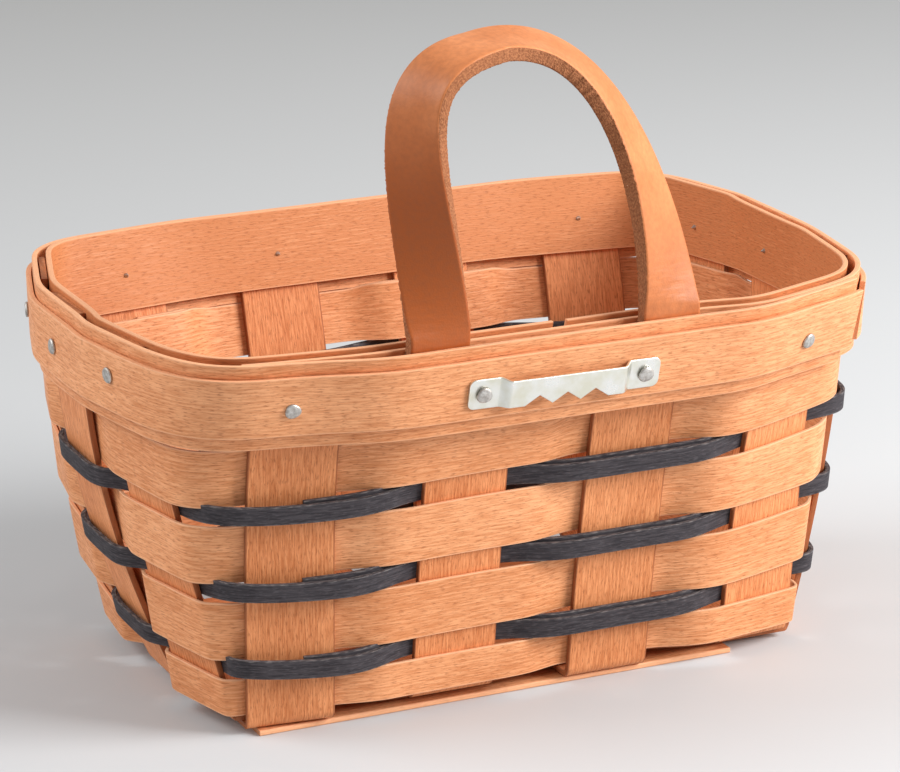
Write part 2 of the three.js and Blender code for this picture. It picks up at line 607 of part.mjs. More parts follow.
for (let j = 0; j < LONG_COUNT; j += 1) {
  const crossings = Array.from({ length: CROSS_COUNT }, (_, i) => ({
    at: crossPlace(i) * crossPitch,
    level: floorMiddle - overUnder(i, j) * floorOffset,
  }));
  const ends = { [-1]: splintOf(`left_${j + 1}`), 1: splintOf(`right_${j + 1}`) };
  const wallAcross = (end, z) => wallRing(ends[end], z, end);
  const foldAcross = (end, z) => wallRing(ends[end], z, end, 1);
  const reachAt = (end, z) => Math.abs(splintFrame(ends[end], z).x);
  const middleY = longPlace(j) * longPitch;
  const floorAcross = (x, z) =>
    ringOf((s, face) => new THREE.Vector3(x, middleY - s, z - (face * SPLINT_THICKNESS) / 2));
  const sections = splintSections(wallAcross, foldAcross, floorAcross, reachAt, crossings);
  const holes = [holeAt[`left_${j + 1}`], holeAt[`right_${j + 1}`]];
  addPiece(`splint_long_${j + 1}`, drilled(loft(sections), holes), splintWood());
}

// Floor runners: flat strips under the outermost long splints
for (const [name, side] of [["front", -1], ["back", 1]]) {
  const geometry = new THREE.BoxGeometry(RUNNER_LENGTH, RUNNER_WIDTH, RUNNER_THICKNESS);
  const runner = addPiece(`base_runner_${name}`, geometry, bandWood());
  const y = side * (footHalfWidth - RUNNER_INSET - RUNNER_WIDTH / 2);
  runner.position.set(RUNNER_SHIFT, y, RUNNER_THICKNESS / 2);
}

// Rim bands: sections between two ends, all round
const bandPlaces = (from, to) =>
  [from, ...stripPlaces(Math.floor(from), Math.floor(to)).filter((s) => s > from && s < to), to];
const huggingBand = (from, to, low, high, offset) =>
  bandPlaces(from, to).map((s) => stripSection(s, low, high, offset, BAND_THICKNESS, 1));
const uprightBand = (from, to, low, high, thickness, offsetAt) =>
  bandPlaces(from, to).map((s) => {
    const offset = offsetAt(s) + acrossGap(s, bandStood);
    return stripSection(s, low, high, offset, thickness, acrossGap(s, bandFollow), rimMiddle);
  });

// The inner band hugs the splints, and its ends meet behind the hanger
const seamSplint = hangerSplints[0];
const innerStart = seamSplint + mix(FLAT, 1, FLAT);
const innerEnd = innerStart + turn - gapShare(seamSplint, INNER_SEAM, rimMiddle);
const innerBand = huggingBand(innerStart, innerEnd, innerBandLow, innerBandTop, innerBandOffset);
addPiece("rim_inner_band", drilled(loft(innerBand), allHoles), bandWood());

// The outer band starts against the hanger side's splints, goes once round and lies over its own start and
// the tails
const outerEnd = afterSplint(CROSS_COUNT - 1, OUTER_BAND_END, rimMiddle) + turn;
const outerOffset = (s) => (s < turn / 2 ? firstLayerOffset : outermostOffset(s));
const outerBand = uprightBand(outerStart, outerEnd, outerBandLow, rimTop, BAND_THICKNESS, outerOffset);
addPiece("rim_outer_band", drilled(loft(outerBand), allHoles), bandWood());

// The trim covers the outer band, and its ends meet at the hanger side's right corner
const trimStart = afterSplint(CROSS_COUNT - 1, TRIM_END + TRIM_SEAM, rimMiddle);
const trimEnd = afterSplint(CROSS_COUNT - 1, TRIM_END, rimMiddle) + turn;
const trimOffset = (s) => outerOffset(s) + trimStep;
const trim = uprightBand(trimStart, trimEnd, trimLow, trimHigh, TRIM_THICKNESS, trimOffset);
addPiece("rim_trim", drilled(loft(trim), allHoles), bandWood());

// Sawtooth hanger: flat ears under the nail heads and a raised bar with notches along its lower edge
const leftNail = nails[hangerSplints[0]];
const rightNail = nails[hangerSplints[1]];
const hangerOut = leftNail.out.clone().add(rightNail.out).normalize();
const hangerAlong = rightNail.point.clone().sub(leftNail.point).normalize();
const hangerUp = hangerOut.clone().cross(hangerAlong);
const hangerMiddle = leftNail.point.clone().add(rightNail.point).multiplyScalar(0.5);
const hangerSeat = Math.max(leftNail.trimFace, rightNail.trimFace) + FIT;

function hangerSections() {
  const ear = HANGER_EAR_HEIGHT / 2;
  const end = HANGER_LENGTH / 2;
  const bar = HANGER_BAR_LENGTH / 2;
  const cut = ear - HANGER_CORNER;
  const onBar = (u, low) => ({ u, high: HANGER_BAR_TOP, low, out: HANGER_RISE });
  const leftEnd = [
    { u: -end, high: cut, low: cut, out: 0 },
    { u: -end + HANGER_CORNER, high: ear, low: ear, out: 0 },
    { u: -bar - HANGER_STEP, high: ear, low: ear, out: 0 },
    onBar(-bar, HANGER_BAR_BOTTOM),
  ];
  const teeth = Array.from({ length: TOOTH_COUNT }, (_, k) => {
    const peak = (k - (TOOTH_COUNT - 1) / 2) * TOOTH_PITCH;
    return [
      onBar(peak - TOOTH_PITCH / 2, HANGER_BAR_BOTTOM),
      onBar(peak, HANGER_BAR_BOTTOM - TOOTH_DEPTH),
    ];
  });
  const lastFoot = onBar((TOOTH_COUNT / 2) * TOOTH_PITCH, HANGER_BAR_BOTTOM);
  const rightEnd = leftEnd.map((station) => ({ ...station, u: -station.u })).reverse();
  const stations = [...leftEnd, ...teeth.flat(), lastFoot, ...rightEnd];
  return stations.map(({ u, high, low, out }) => {
    const point = (v, w) => hangerMiddle.clone()
      .addScaledVector(hangerAlong, u)
      .addScaledVector(hangerUp, v)
      .addScaledVector(hangerOut, hangerSeat + out + w);
    return [point(-low, 0), point(high, 0), point(high, HANGER_METAL), point(-low, HANGER_METAL)];
  });
}
const hangerHoles = [holeAt[leftNail.name], holeAt[rightNail.name]];
addPiece("sawtooth_hanger", drilled(loft(hangerSections()), hangerHoles), zincSteel());

// Strap tails: clamped flat between the two layers of the outer band
const tailTop = rimTop + TAIL_RISE;
const tailLow = rimTop - TAIL_LENGTH;
strapLegs.forEach((x, k) => {
  const places = [x - STRAP_WIDTH / 2, x, x + STRAP_WIDTH / 2].map((at) => frontAt(at, rimMiddle));
  const sections = places.map((s) => stripSection(s, tailLow, tailTop, strapOffset, STRAP_THICKNESS, 1));
  addPiece(`handle_tail_${k === 0 ? "left" : "right"}`, drilled(loft(sections), allHoles), leather());
});

// Strap loop: two curves from the flex line at each leg to the crown. The strap's broad face looks out to the
// front at the legs and turns to look up at the crown. Each leg ends in a half round about the flex line.
const flexHeight = tailTop + FIT + STRAP_THICKNESS / 2;
const legY = strapLegs.reduce((sum, x) => {
  const { y, ny } = wallPath(frontAt(x, tailTop), tailTop);
  return sum + (y + strapOffset * ny) / strapLegs.length;
}, 0);
const crown = new THREE.Vector3(STRAP_SHIFT + LOOP_LEAN_SIDE, legY + LOOP_LEAN_BACK, flexHeight + LOOP_RISE);

function legCurve(side) {
  const foot = new THREE.Vector3(strapLegs[side < 0 ? 0 : 1], legY, flexHeight);
  const footPull = foot.clone().add(new THREE.Vector3(0, LEG_LEAN, 1).multiplyScalar(LEG_RUN));
  const crownPull = crown.clone().add(new THREE.Vector3(1, CROWN_TURN, 0).multiplyScalar(side * CROWN_RUN));
  return new THREE.CubicBezierCurve3(foot, footPull, crownPull, crown);
}

function strapFrame(side, t) {
  const curve = legCurve(side);
  const centre = curve.getPoint(t);
  const along = curve.getTangent(t).multiplyScalar(-side);
  const front = new THREE.Vector3(0, -1, 0);
  front.addScaledVector(along, -front.dot(along)).normalize();
  const outward = along.clone().cross(front).multiplyScalar(-1);
  const twist = LOOP_TWIST * t ** TWIST_POWER;
  const face = front.multiplyScalar(Math.cos(twist)).addScaledVector(outward, Math.sin(twist));
  return { centre, face, width: along.clone().cross(face) };
}

function strapSection({ centre, face, width }, thickness) {
  const corner = (w, h) => centre.clone()
    .addScaledVector(width, (w * STRAP_WIDTH) / 2)
    .addScaledVector(face, (h * thickness) / 2);
  return [corner(-1, -1), corner(1, -1), corner(1, 1), corner(-1, 1)];
}

function legEnd(side) {
  const frame = strapFrame(side, 0);
  const down = new THREE.Vector3(0, 0, -1);
  const flat = { face: new THREE.Vector3(0, -1, 0), width: new THREE.Vector3(-side, 0, 0) };
  const radius = STRAP_THICKNESS / 2;
  return Array.from({ length: ROUND_END_STEPS }, (_, k) => {
    const angle = ((k + 1) / (ROUND_END_STEPS + 1)) * (Math.PI / 2);
    const centre = frame.centre.clone().addScaledVector(down, radius * Math.sin(angle));
    return strapSection({ ...flat, centre }, STRAP_THICKNESS * Math.cos(angle));
  });
}

const loopSide = (side) => Array.from({ length: LOOP_STEPS + 1 }, (_, k) =>
  strapSection(strapFrame(side, k / LOOP_STEPS), STRAP_THICKNESS));
const loopSections = [
  ...legEnd(-1).reverse(),
  ...loopSide(-1),
  ...loopSide(1).reverse().slice(1),
  ...legEnd(1),
];
addPiece("handle_loop", loft(loopSections), leather());

// The origin is under the middle of the whole basket
const box = new THREE.Box3().setFromObject(basket);
const centre = box.getCenter(new THREE.Vector3());
basket.position.set(-centre.x, -centre.y, -box.min.z);

export default basket;
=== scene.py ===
# %% [markdown]
# # A woven key basket
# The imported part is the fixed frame. The strips of wood, the nails, the hanger and the leather strap are
# drawn again as finer surfaces on the same formulas, so that strips bend smoothly and their cut edges are
# rounded. The CAD meshes could be bevelled instead, but their facets would still show along every bend.
# All sizes below are in millimetres. They turn into metres only when a mesh is made.

import bpy
import numpy as np
from mathutils import Matrix, Vector


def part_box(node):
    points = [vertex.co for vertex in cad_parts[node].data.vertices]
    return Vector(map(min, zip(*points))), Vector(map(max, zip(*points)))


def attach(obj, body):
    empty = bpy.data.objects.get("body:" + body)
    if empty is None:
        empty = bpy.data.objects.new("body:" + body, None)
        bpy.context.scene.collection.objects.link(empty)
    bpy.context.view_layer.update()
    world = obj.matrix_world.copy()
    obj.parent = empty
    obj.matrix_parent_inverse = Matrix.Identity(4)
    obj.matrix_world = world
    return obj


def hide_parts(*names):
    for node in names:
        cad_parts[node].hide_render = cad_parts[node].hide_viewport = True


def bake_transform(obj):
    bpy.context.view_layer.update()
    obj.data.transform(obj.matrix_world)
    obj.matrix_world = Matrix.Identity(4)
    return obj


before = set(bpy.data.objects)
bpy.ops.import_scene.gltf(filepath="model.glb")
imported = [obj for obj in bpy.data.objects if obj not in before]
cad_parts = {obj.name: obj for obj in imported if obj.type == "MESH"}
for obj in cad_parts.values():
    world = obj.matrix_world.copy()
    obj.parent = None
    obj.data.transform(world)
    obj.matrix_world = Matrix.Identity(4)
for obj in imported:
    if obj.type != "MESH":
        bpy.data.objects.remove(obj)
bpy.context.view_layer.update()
MM = 0.001


def node_box(node):
    """Lowest and highest corner of a CAD node, in millimetres."""
    low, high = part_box(node)
    return np.array(low) / MM, np.array(high) / MM


# %% [markdown]
# ## Where things are
# Heights come from the boxes of the CAD nodes. They could be typed in again, but what is read can't drift
# away from the part. The wall's middle line comes from the two floor runners, which lie evenly in front of
# and behind it.

# %% Heights and the wall's middle
def node_heights(node):
    """Lowest and highest z of a CAD node, in millimetres."""
    low, high = node_box(node)
    return low[2], high[2]


RUNNER_SHIFT = -8.0
WIDE_ROWS = ["weaver_wide_4", "weaver_wide_3", "weaver_wide_2", "weaver_wide_1"]
DARK_ROWS = ["weaver_dark_3", "weaver_dark_2", "weaver_dark_1"]
FRONT_RUNNER = node_box("base_runner_front")
BACK_RUNNER = node_box("base_runner_back")
MIDDLE_X = (FRONT_RUNNER[0][0] + FRONT_RUNNER[1][0]) / 2 - RUNNER_SHIFT
MIDDLE_Y = (FRONT_RUNNER[0][1] + BACK_RUNNER[1][1]) / 2
RUNNER_TOP = FRONT_RUNNER[1][2]
OUTER_LOW, RIM_TOP = node_heights("rim_outer_band")
INNER_LOW, INNER_TOP = node_heights("rim_inner_band")
TRIM_LOW, TRIM_TOP = node_heights("rim_trim")
TAIL_LOW, TAIL_TOP = node_heights("handle_tail_left")
RIM_MIDDLE = (OUTER_LOW + RIM_TOP) / 2
NAIL_HEIGHT = (TRIM_LOW + TRIM_TOP) / 2
print("rim top at", round(RIM_TOP, 2), "and wall middle at", round(MIDDLE_X, 2), round(MIDDLE_Y, 2))

# %% [markdown]
# ## The wall
# Fourteen splints stand round the basket: four in front, three on the right, four behind, three on the
# left. The wall's plan is a rounded rectangle that grows from the foot to the rim. A path runs round it:
# whole numbers are the left edges of the splints, the first half of each unit lies flat on a splint, and
# the second half swings across the gap to the next one. A curve object could be the path too, but a formula
# gives every strip the same wall at any height.

# %% Wall sizes
FIT = 0.3
CROSS_COUNT = 4
LONG_COUNT = 3
TURN = 2 * (CROSS_COUNT + LONG_COUNT)
LAST_FRONT = CROSS_COUNT - 1
BACK_RIGHT = CROSS_COUNT + LONG_COUNT
SPLINT_WIDTH = 25.4
SPLINT_THICKNESS = 1.8
CROSS_GAP, LONG_GAP = 23.8, 9.4
CROSS_PITCH = SPLINT_WIDTH + CROSS_GAP
LONG_PITCH = SPLINT_WIDTH + LONG_GAP
CROSS_SPREAD = 2.0
LONG_SPREAD = 5.6
LEFT_LEAN = 8.3
RIGHT_LEAN = 5.8
FOOT_MARGIN_LENGTH, FOOT_MARGIN_WIDTH = 3.6, 6.0
FOOT_HALF_LENGTH = (CROSS_COUNT - 1) / 2 * CROSS_PITCH + SPLINT_WIDTH / 2 + FOOT_MARGIN_LENGTH
FOOT_HALF_WIDTH = (LONG_COUNT - 1) / 2 * LONG_PITCH + SPLINT_WIDTH / 2 + FOOT_MARGIN_WIDTH
SIDE_FLARE = 25.4
SIDE_BOW = -2.0
RIGHT_WALL = {"flare": [18.3, 20.3, 17.8], "bow": [5.2, 8.7, 4.4],  # front to back
              "turn": [12.0, 0.0, 19.0], "rim_turn": [8.5, 0.0, 13.0]}
LEFT_WALL = {"flare": [18.6, 24.3, 22.6], "bow": [5.7, 7.3, 1.6],  # back to front
             "turn": [5.8, 0.0, 13.1], "rim_turn": [15.8, 0.0, 9.4]}
OUTLINE_FLARE = 20.4
OUTLINE_BOW = 7.2
FOOT_SQUARENESS = 7.6
RIM_SQUARENESS = 5.2
SQUARENESS_BOW = -2.5
SIDE_TURN, SIDE_TURN_RIM = 11.0, 8.3
TIGHT_TURN_RIM = 20.2
TURN_HEIGHT = 30.0
FLAT = 0.5
SEAT_SHARE = 0.1
FOOT_FULLNESS, RIM_FULLNESS = 0.4, 0.85

CROSS_PLACES = np.arange(CROSS_COUNT) - (CROSS_COUNT - 1) / 2
LONG_PLACES = np.arange(LONG_COUNT) - (LONG_COUNT - 1) / 2
PLACE = np.concatenate([CROSS_PLACES, LONG_PLACES, CROSS_PLACES[::-1], LONG_PLACES[::-1]])
SIDE = np.repeat([0, 1, 2, 3], [CROSS_COUNT, LONG_COUNT, CROSS_COUNT, LONG_COUNT])
ON_END = SIDE % 2 == 1
AWAY = np.where((SIDE == 1) | (SIDE == 2), 1.0, -1.0)
HEADING = SIDE * np.pi / 2
LEAN = np.where(SIDE == 1, RIGHT_LEAN, LEFT_LEAN)
FLARE, BOW = np.zeros(TURN), np.zeros(TURN)
TURN_FOOT, TURN_RIM = np.full(TURN, np.radians(SIDE_TURN)), np.full(TURN, np.radians(SIDE_TURN_RIM))
TURN_RIM[LAST_FRONT] = np.radians(TIGHT_TURN_RIM)
for side, wall in ((1, RIGHT_WALL), (3, LEFT_WALL)):
    FLARE[SIDE == side], BOW[SIDE == side] = wall["flare"], wall["bow"]
    TURN_FOOT[SIDE == side], TURN_RIM[SIDE == side] = np.radians(wall["turn"]), np.radians(wall["rim_turn"])
OUTERMOST = np.abs(PLACE) == np.where(ON_END, LONG_PLACES[-1], CROSS_PLACES[-1])
TURN_WAY = np.where(OUTERMOST, np.sign(PLACE) * np.where(SIDE < 2, 1, -1), 0.0)
print("splints round the wall:", TURN)


# %% Small formulas
TINY = 1e-9


def mix(a, b, t):
    """a where t is 0, b where t is 1, and a straight change between."""
    return a + (b - a) * t


def ease(t):
    """A soft step: 3 t squared minus 2 t cubed, held at 0 below and at 1 above."""
    c = np.clip(t, 0.0, 1.0)
    return c * c * (3.0 - 2.0 * c)


def length_of(vectors):
    """Length of each vector, kept as a last axis of one."""
    return np.linalg.norm(vectors, axis=-1, keepdims=True)


def bowed(foot, flare, bow, height):
    """Straight growth from foot to foot plus flare, plus a bow of 4 t (1 - t) at half height."""
    t = height / RIM_TOP
    return foot + flare * t + 4.0 * bow * t * (1.0 - t)


def towards_rim(foot, rim, height):
    """The foot's value up to the turn height, the rim's value at the bands, and a soft step between."""
    return mix(foot, rim, ease((height - TURN_HEIGHT) / (OUTER_LOW - TURN_HEIGHT)))


def half_depth(along, reach, depth, squareness):
    """The rounded outline |along / reach|^n + |across / depth|^n = 1, solved for across."""
    left = np.clip(1.0 - np.abs(along / reach) ** squareness, TINY, None)
    return depth * left ** (1.0 / squareness)


print("half way up a soft step:", ease(0.5))


# %% Splints on the wall
def splint_frame(ordinal, height):
    """Middle of a splint at a height and the way on round the wall there, each a pair of x and y.
    A long wall's splint has its x from the pitch and its y from the outline. An end wall's has its y from
    the pitch and its x from its own growth."""
    k = np.mod(ordinal, TURN)
    t = height / RIM_TOP
    a = bowed(FOOT_HALF_LENGTH, OUTLINE_FLARE, OUTLINE_BOW, height)
    b = bowed(FOOT_HALF_WIDTH, SIDE_FLARE, SIDE_BOW, height)
    n = bowed(FOOT_SQUARENESS, RIM_SQUARENESS - FOOT_SQUARENESS, SQUARENESS_BOW, height)
    cross_x = PLACE[k] * (CROSS_PITCH + CROSS_SPREAD * t)
    long_y = PLACE[k] * (LONG_PITCH + LONG_SPREAD * t) + LEAN[k] * (1.0 - (1.0 - t) ** 2)
    end_x = bowed(FOOT_HALF_LENGTH, FLARE[k], BOW[k], height)
    x = np.where(ON_END[k], AWAY[k] * end_x, cross_x)
    y = np.where(ON_END[k], long_y, AWAY[k] * half_depth(np.where(ON_END[k], 0.0, cross_x), a, b, n))
    angle = HEADING[k] + TURN_WAY[k] * towards_rim(TURN_FOOT[k], TURN_RIM[k], height)
    return np.stack([x, y], -1), np.stack([np.cos(angle), np.sin(angle)], -1)


def outwards(way):
    """The way out of the wall: the way on round it, turned by a quarter to the right."""
    return np.stack([way[..., 1], -way[..., 0]], -1)


def gap_between(here, way_here, after, way_after):
    """Distance from a splint's right edge to the next one's left edge."""
    half = SPLINT_WIDTH / 2
    return length_of(after - half * way_after - here - half * way_here)


print("first splint's foot at", np.round(splint_frame(0, 0.0)[0], 1))

# %% The path round the wall
FLARE_REACH = 1.0


def wall_path(place, height):
    """Point on the wall's middle surface and the way out of it, at a place on the path and a height.
    On a splint: its middle plus a distance along it. In a gap: the cubic curve that leaves one splint and
    meets the next along their own directions."""
    place, height = np.broadcast_arrays(np.asarray(place, float), np.asarray(height, float))
    ordinal = np.floor(place).astype(int)
    share = (place - ordinal)[..., None]
    here, way_here = splint_frame(ordinal, height)
    after, way_after = splint_frame(ordinal + 1, height)
    before, way_before = splint_frame(ordinal - 1, height)
    reach = SPLINT_WIDTH / 2 + SEAT_SHARE * gap_between(here, way_here, after, way_after)
    reach_back = SPLINT_WIDTH / 2 + SEAT_SHARE * gap_between(before, way_before, here, way_here)
    seat = here + way_here * mix(-reach_back, reach, share / FLAT)
    t = np.clip((share - FLAT) / (1.0 - FLAT), 0.0, 1.0)
    start, stop = here + reach * way_here, after - reach * way_after
    pull = towards_rim(FOOT_FULLNESS, RIM_FULLNESS, height)[..., None] * length_of(stop - start)
    swing = start + (stop - start) * ease(t) + pull * t * (1 - t) * ((1 - t) * way_here - t * way_after)
    slope = 6 * t * (1 - t) * (stop - start)
    slope = slope + pull * ((1 - t) * (1 - 3 * t) * way_here + t * (3 * t - 2) * way_after)
    on_splint = share <= FLAT
    point = np.where(on_splint, seat, swing)
    way = np.where(on_splint, way_here, slope / length_of(slope))
    return point, outwards(way)


def flare_at(ordinal, height):
    """How far the wall leans out per unit of height at a splint: the way out that its middle makes between
    two heights, over their distance."""
    low, _ = splint_frame(ordinal, height - FLARE_REACH)
    high, _ = splint_frame(ordinal, height + FLARE_REACH)
    _, way = splint_frame(ordinal, height)
    return np.sum((high - low) * outwards(way), -1) / (2 * FLARE_REACH)


splint_starts, _ = wall_path(np.arange(TURN), RIM_TOP)
print("splints at the rim span", np.round(np.ptp(splint_starts, axis=0), 1))

# %% [markdown]
# ## From arrays to meshes
# Most pieces here are a closed profile carried along a path. A curve with a bevel profile could do that,
# but it gives no say over the map or the values at its points. So the points form a grid: one row per
# station on the path, one column per point of the profile. The helper joins the grid to faces, closes the
# two ends, turns the faces outwards, and writes a map that runs along and across the strip in metres, so
# that wood grain follows every bend. More values travel with the points: edge marks the cut edges, tone
# sets one strip a little darker or paler than the next and darkens the inner band with painted shade, and
# the strap has two of its own.

# %% Strip profile
EDGE_BORDER = 0.35


def strip_profile(height, thickness, rounding, across=7, arc=4):
    """Rounded rectangle: outer face from low to high, round over the top edge, inner face back, round under.
    Returns the offsets across the height and the thickness, the edge mark and the run along the outline."""
    half, deep = height / 2 - rounding, thickness / 2 - rounding
    face = np.concatenate([[-half], np.linspace(-half + EDGE_BORDER, half - EDGE_BORDER, across), [half]])
    turn = np.linspace(0, np.pi / 2, arc + 1)[1:-1]
    quarter = rounding * np.stack([np.sin(turn), np.cos(turn)], -1)
    outer = np.stack([face, np.full_like(face, thickness / 2)], -1)
    top_out = np.array([half, deep]) + quarter
    top_in = np.array([half, -deep]) + quarter[::-1] * [1, -1]
    ring_half = np.concatenate([outer, top_out, [[height / 2, deep], [height / 2, -deep]], top_in])
    ring = np.concatenate([ring_half, -ring_half])
    edge_half = np.ones(len(ring_half))
    edge_half[1:len(face) - 1] = 0.0
    edge = np.concatenate([edge_half, edge_half])
    closed = np.concatenate([ring, ring[:1]])
    run = np.concatenate([[0.0], np.cumsum(np.linalg.norm(np.diff(closed, axis=0), axis=-1))])
    return ring[:, 0], ring[:, 1], edge, run


print("points round a strip:", len(strip_profile(SPLINT_WIDTH, SPLINT_THICKNESS, EDGE_BORDER)[0]))

# %% Faces and pieces
SHARP_ANGLE = np.radians(55.0)
MAP_NAME = "strip"
MAP_SHIFT = 4.0
SEED = 27
rng = np.random.default_rng(SEED)


def tube_faces(stations, ring):
    """Four-sided faces of a grid that is closed along the profile: station, next station, and the same
    one column on. Returns the corner numbers and, for the map, each one's station and unwrapped column."""
    k, i = np.meshgrid(np.arange(stations - 1), np.arange(ring), indexing="ij")
    station = np.stack([k, k + 1, k + 1, k], -1).reshape(-1, 4)
    column = np.stack([i, i, i + 1, i + 1], -1).reshape(-1, 4)
    return station * ring + column % ring, station, column


def signed_volume(points, faces):
    """Six times the volume that the faces enclose: the sum of the triple products of their corners."""
    a, b, c, d = (points[faces[:, n]] for n in range(4))
    return np.sum(np.cross(a, b) * c) + np.sum(np.cross(a, c) * d)


def new_piece(name, points, faces, flat_map, marks, material):
    """Makes a mesh object from points in metres, faces, one map point per face corner and point values."""
    mesh = bpy.data.meshes.new(name)
    mesh.from_pydata(points, [], faces)
    layer = mesh.uv_layers.new(name=MAP_NAME)
    layer.data.foreach_set("uv", np.asarray(flat_map, np.float32).ravel())
    for mark_name, values in marks.items():
        attribute = mesh.attributes.new(mark_name, "FLOAT", "POINT")
        attribute.data.foreach_set("value", np.asarray(values, np.float32))
    mesh.polygons.foreach_set("use_smooth", np.ones(len(mesh.polygons), bool))
    mesh.set_sharp_from_angle(angle=float(SHARP_ANGLE))
    mesh.materials.append(material)
    mesh.update()
    piece = bpy.data.objects.new(name, mesh)
    bpy.context.scene.collection.objects.link(piece)
    return piece


def tube_piece(name, grid, along, around, marks, material):
    """A closed profile carried along a path. grid has stations by profile points by 3, in wall millimetres;
    along and around are the running lengths in millimetres, used as the map."""
    stations, ring, _ = grid.shape
    points = (grid.reshape(-1, 3) + [MIDDLE_X, MIDDLE_Y, 0.0]) * MM
    faces, station, column = tube_faces(stations, ring)
    start_cap = np.arange(ring)[::-1]
    end_cap = np.arange(ring) + (stations - 1) * ring
    inside_out = signed_volume(points, faces) < 0
    if inside_out:
        faces, station, column = faces[:, ::-1], station[:, ::-1], column[:, ::-1]
        start_cap, end_cap = start_cap[::-1], end_cap[::-1]
    shift = rng.uniform(0.0, MAP_SHIFT, 2)
    side_map = np.stack([along[station], around[column]], -1).reshape(-1, 2)
    cap_map = [np.stack([np.full(ring, along[k]), around[cap % ring]], -1)
               for k, cap in ((0, start_cap), (-1, end_cap))]
    flat_map = np.concatenate([side_map, *cap_map]) * MM + shift
    all_faces = faces.tolist() + [start_cap.tolist(), end_cap.tolist()]
    return new_piece(name, points, all_faces, flat_map, marks, material)


print("side faces of a tube of 3 rings of 4:", len(tube_faces(3, 4)[0]))

# %% Helpers for strips
WANDER_WAVES = (0.17, 0.41, 0.9)
WANDER_WEIGHTS = (0.5, 1.0)


def settle(piece, node):
    """Lets a piece ride on the basket and stand for its CAD node."""
    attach(piece, "basket")
    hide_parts(node)


def wood_strip(node, material, grid, along, around, edge, tone):
    """The piece for one strip of wood, with one tone all over."""
    marks = {"edge": edge, "tone": np.full(edge.shape, tone)}
    settle(tube_piece(f"{node}_strip", grid, along, around, marks, material), node)


def running(points):
    """Distance along a row of points, from its first one."""
    steps = np.linalg.norm(np.diff(points, axis=0), axis=-1)
    return np.concatenate([[0.0], np.cumsum(steps)])


def smoothed(rows, width):
    """Running mean of a row of vectors, with the ends held."""
    kernel = np.hanning(width + 2)[1:-1]
    kernel /= kernel.sum()
    padded = np.pad(rows, ((width // 2, width // 2), (0, 0)), mode="edge")
    return np.stack([np.convolve(padded[:, c], kernel, "valid") for c in range(rows.shape[1])], -1)


def wander(place, size):
    """A slow irregular wave along a strip: a few sines of different length with random starts."""
    starts = rng.uniform(0, 2 * np.pi, len(WANDER_WAVES))
    weights = rng.uniform(*WANDER_WEIGHTS, len(WANDER_WAVES))
    waved = sum(w * np.sin(2 * np.pi * f * place + p) for w, f, p in zip(weights, WANDER_WAVES, starts))
    return size * waved / np.sum(weights)


print("waves in a wander:", len(WANDER_WAVES))

# %% [markdown]
# ## Wood
# The wood is thin and split. Its grain runs along each strip: fine streaks a fraction of a millimetre wide
# and about a centimetre long, short dark pores, and slow clouds of tone. Noise in the object's space would
# cut straight through a bend, so one node group makes these three from the strip map, and every wood finish
# uses it with its own colours.

# %% Node helpers
def add_node(tree, kind, inputs=(), **settings):
    """Adds a node, sets its properties and then the inputs given as (socket, value or output) pairs."""
    made = tree.nodes.new(kind)
    for key, value in settings.items():
        setattr(made, key, value)
    for socket, value in inputs:
        if isinstance(value, bpy.types.NodeSocket):
            tree.links.new(value, made.inputs[socket])
        else:
            made.inputs[socket].default_value = value
    return made


def new_group(name, inputs, outputs):
    """An empty node group with named sockets: vectors and values in, values out."""
    group = bpy.data.node_groups.new(name, "ShaderNodeTree")
    for socket, kind in inputs:
        group.interface.new_socket(socket, in_out="INPUT", socket_type=kind)
    for socket in outputs:
        group.interface.new_socket(socket, in_out="OUTPUT", socket_type="NodeSocketFloat")
    return group, group.nodes.new("NodeGroupInput"), group.nodes.new("NodeGroupOutput")


def stretched_noise(tree, vector, scale, detail, low, high):
    """Noise on a stretched map, with the values between low and high spread over 0 to 1."""
    mapped = add_node(tree, "ShaderNodeMapping", [("Vector", vector), ("Scale", scale)])
    fields = [("Vector", mapped.outputs[0]), ("Scale", 1.0), ("Detail", detail)]
    noise = add_node(tree, "ShaderNodeTexNoise", fields, noise_dimensions="2D")
    return spread(tree, noise.outputs[0], low, high)


def spread(tree, value, low, high):
    """A value between low and high, spread over 0 to 1."""
    fields = [("Value", value), ("From Min", low), ("From Max", high)]
    return add_node(tree, "ShaderNodeMapRange", fields).outputs[0]


def math(tree, operation, a, b):
    """One operation on two values or outputs."""
    return add_node(tree, "ShaderNodeMath", [(0, a), (1, b)], operation=operation).outputs[0]


def weighted(tree, *parts):
    """Sum of some outputs, each times its weight."""
    total = math(tree, "MULTIPLY", *parts[0])
    for value, weight in parts[1:]:
        total = math(tree, "ADD", total, math(tree, "MULTIPLY", value, weight))
    return total


def blend_colour(tree, factor, a, b):
    """Mixes two colours by a factor."""
    return add_node(tree, "ShaderNodeMix", [(0, factor), (6, a), (7, b)], data_type="RGBA").outputs[2]


def add_bump(tree, shader, height, strength, depth, invert=False):
    """Lets a height move the shader's normal."""
    fields = [("Height", height), ("Strength", strength), ("Distance", depth)]
    bump = add_node(tree, "ShaderNodeBump", fields, invert=invert)
    tree.links.new(bump.outputs[0], shader.inputs["Normal"])


print("node helpers ready")

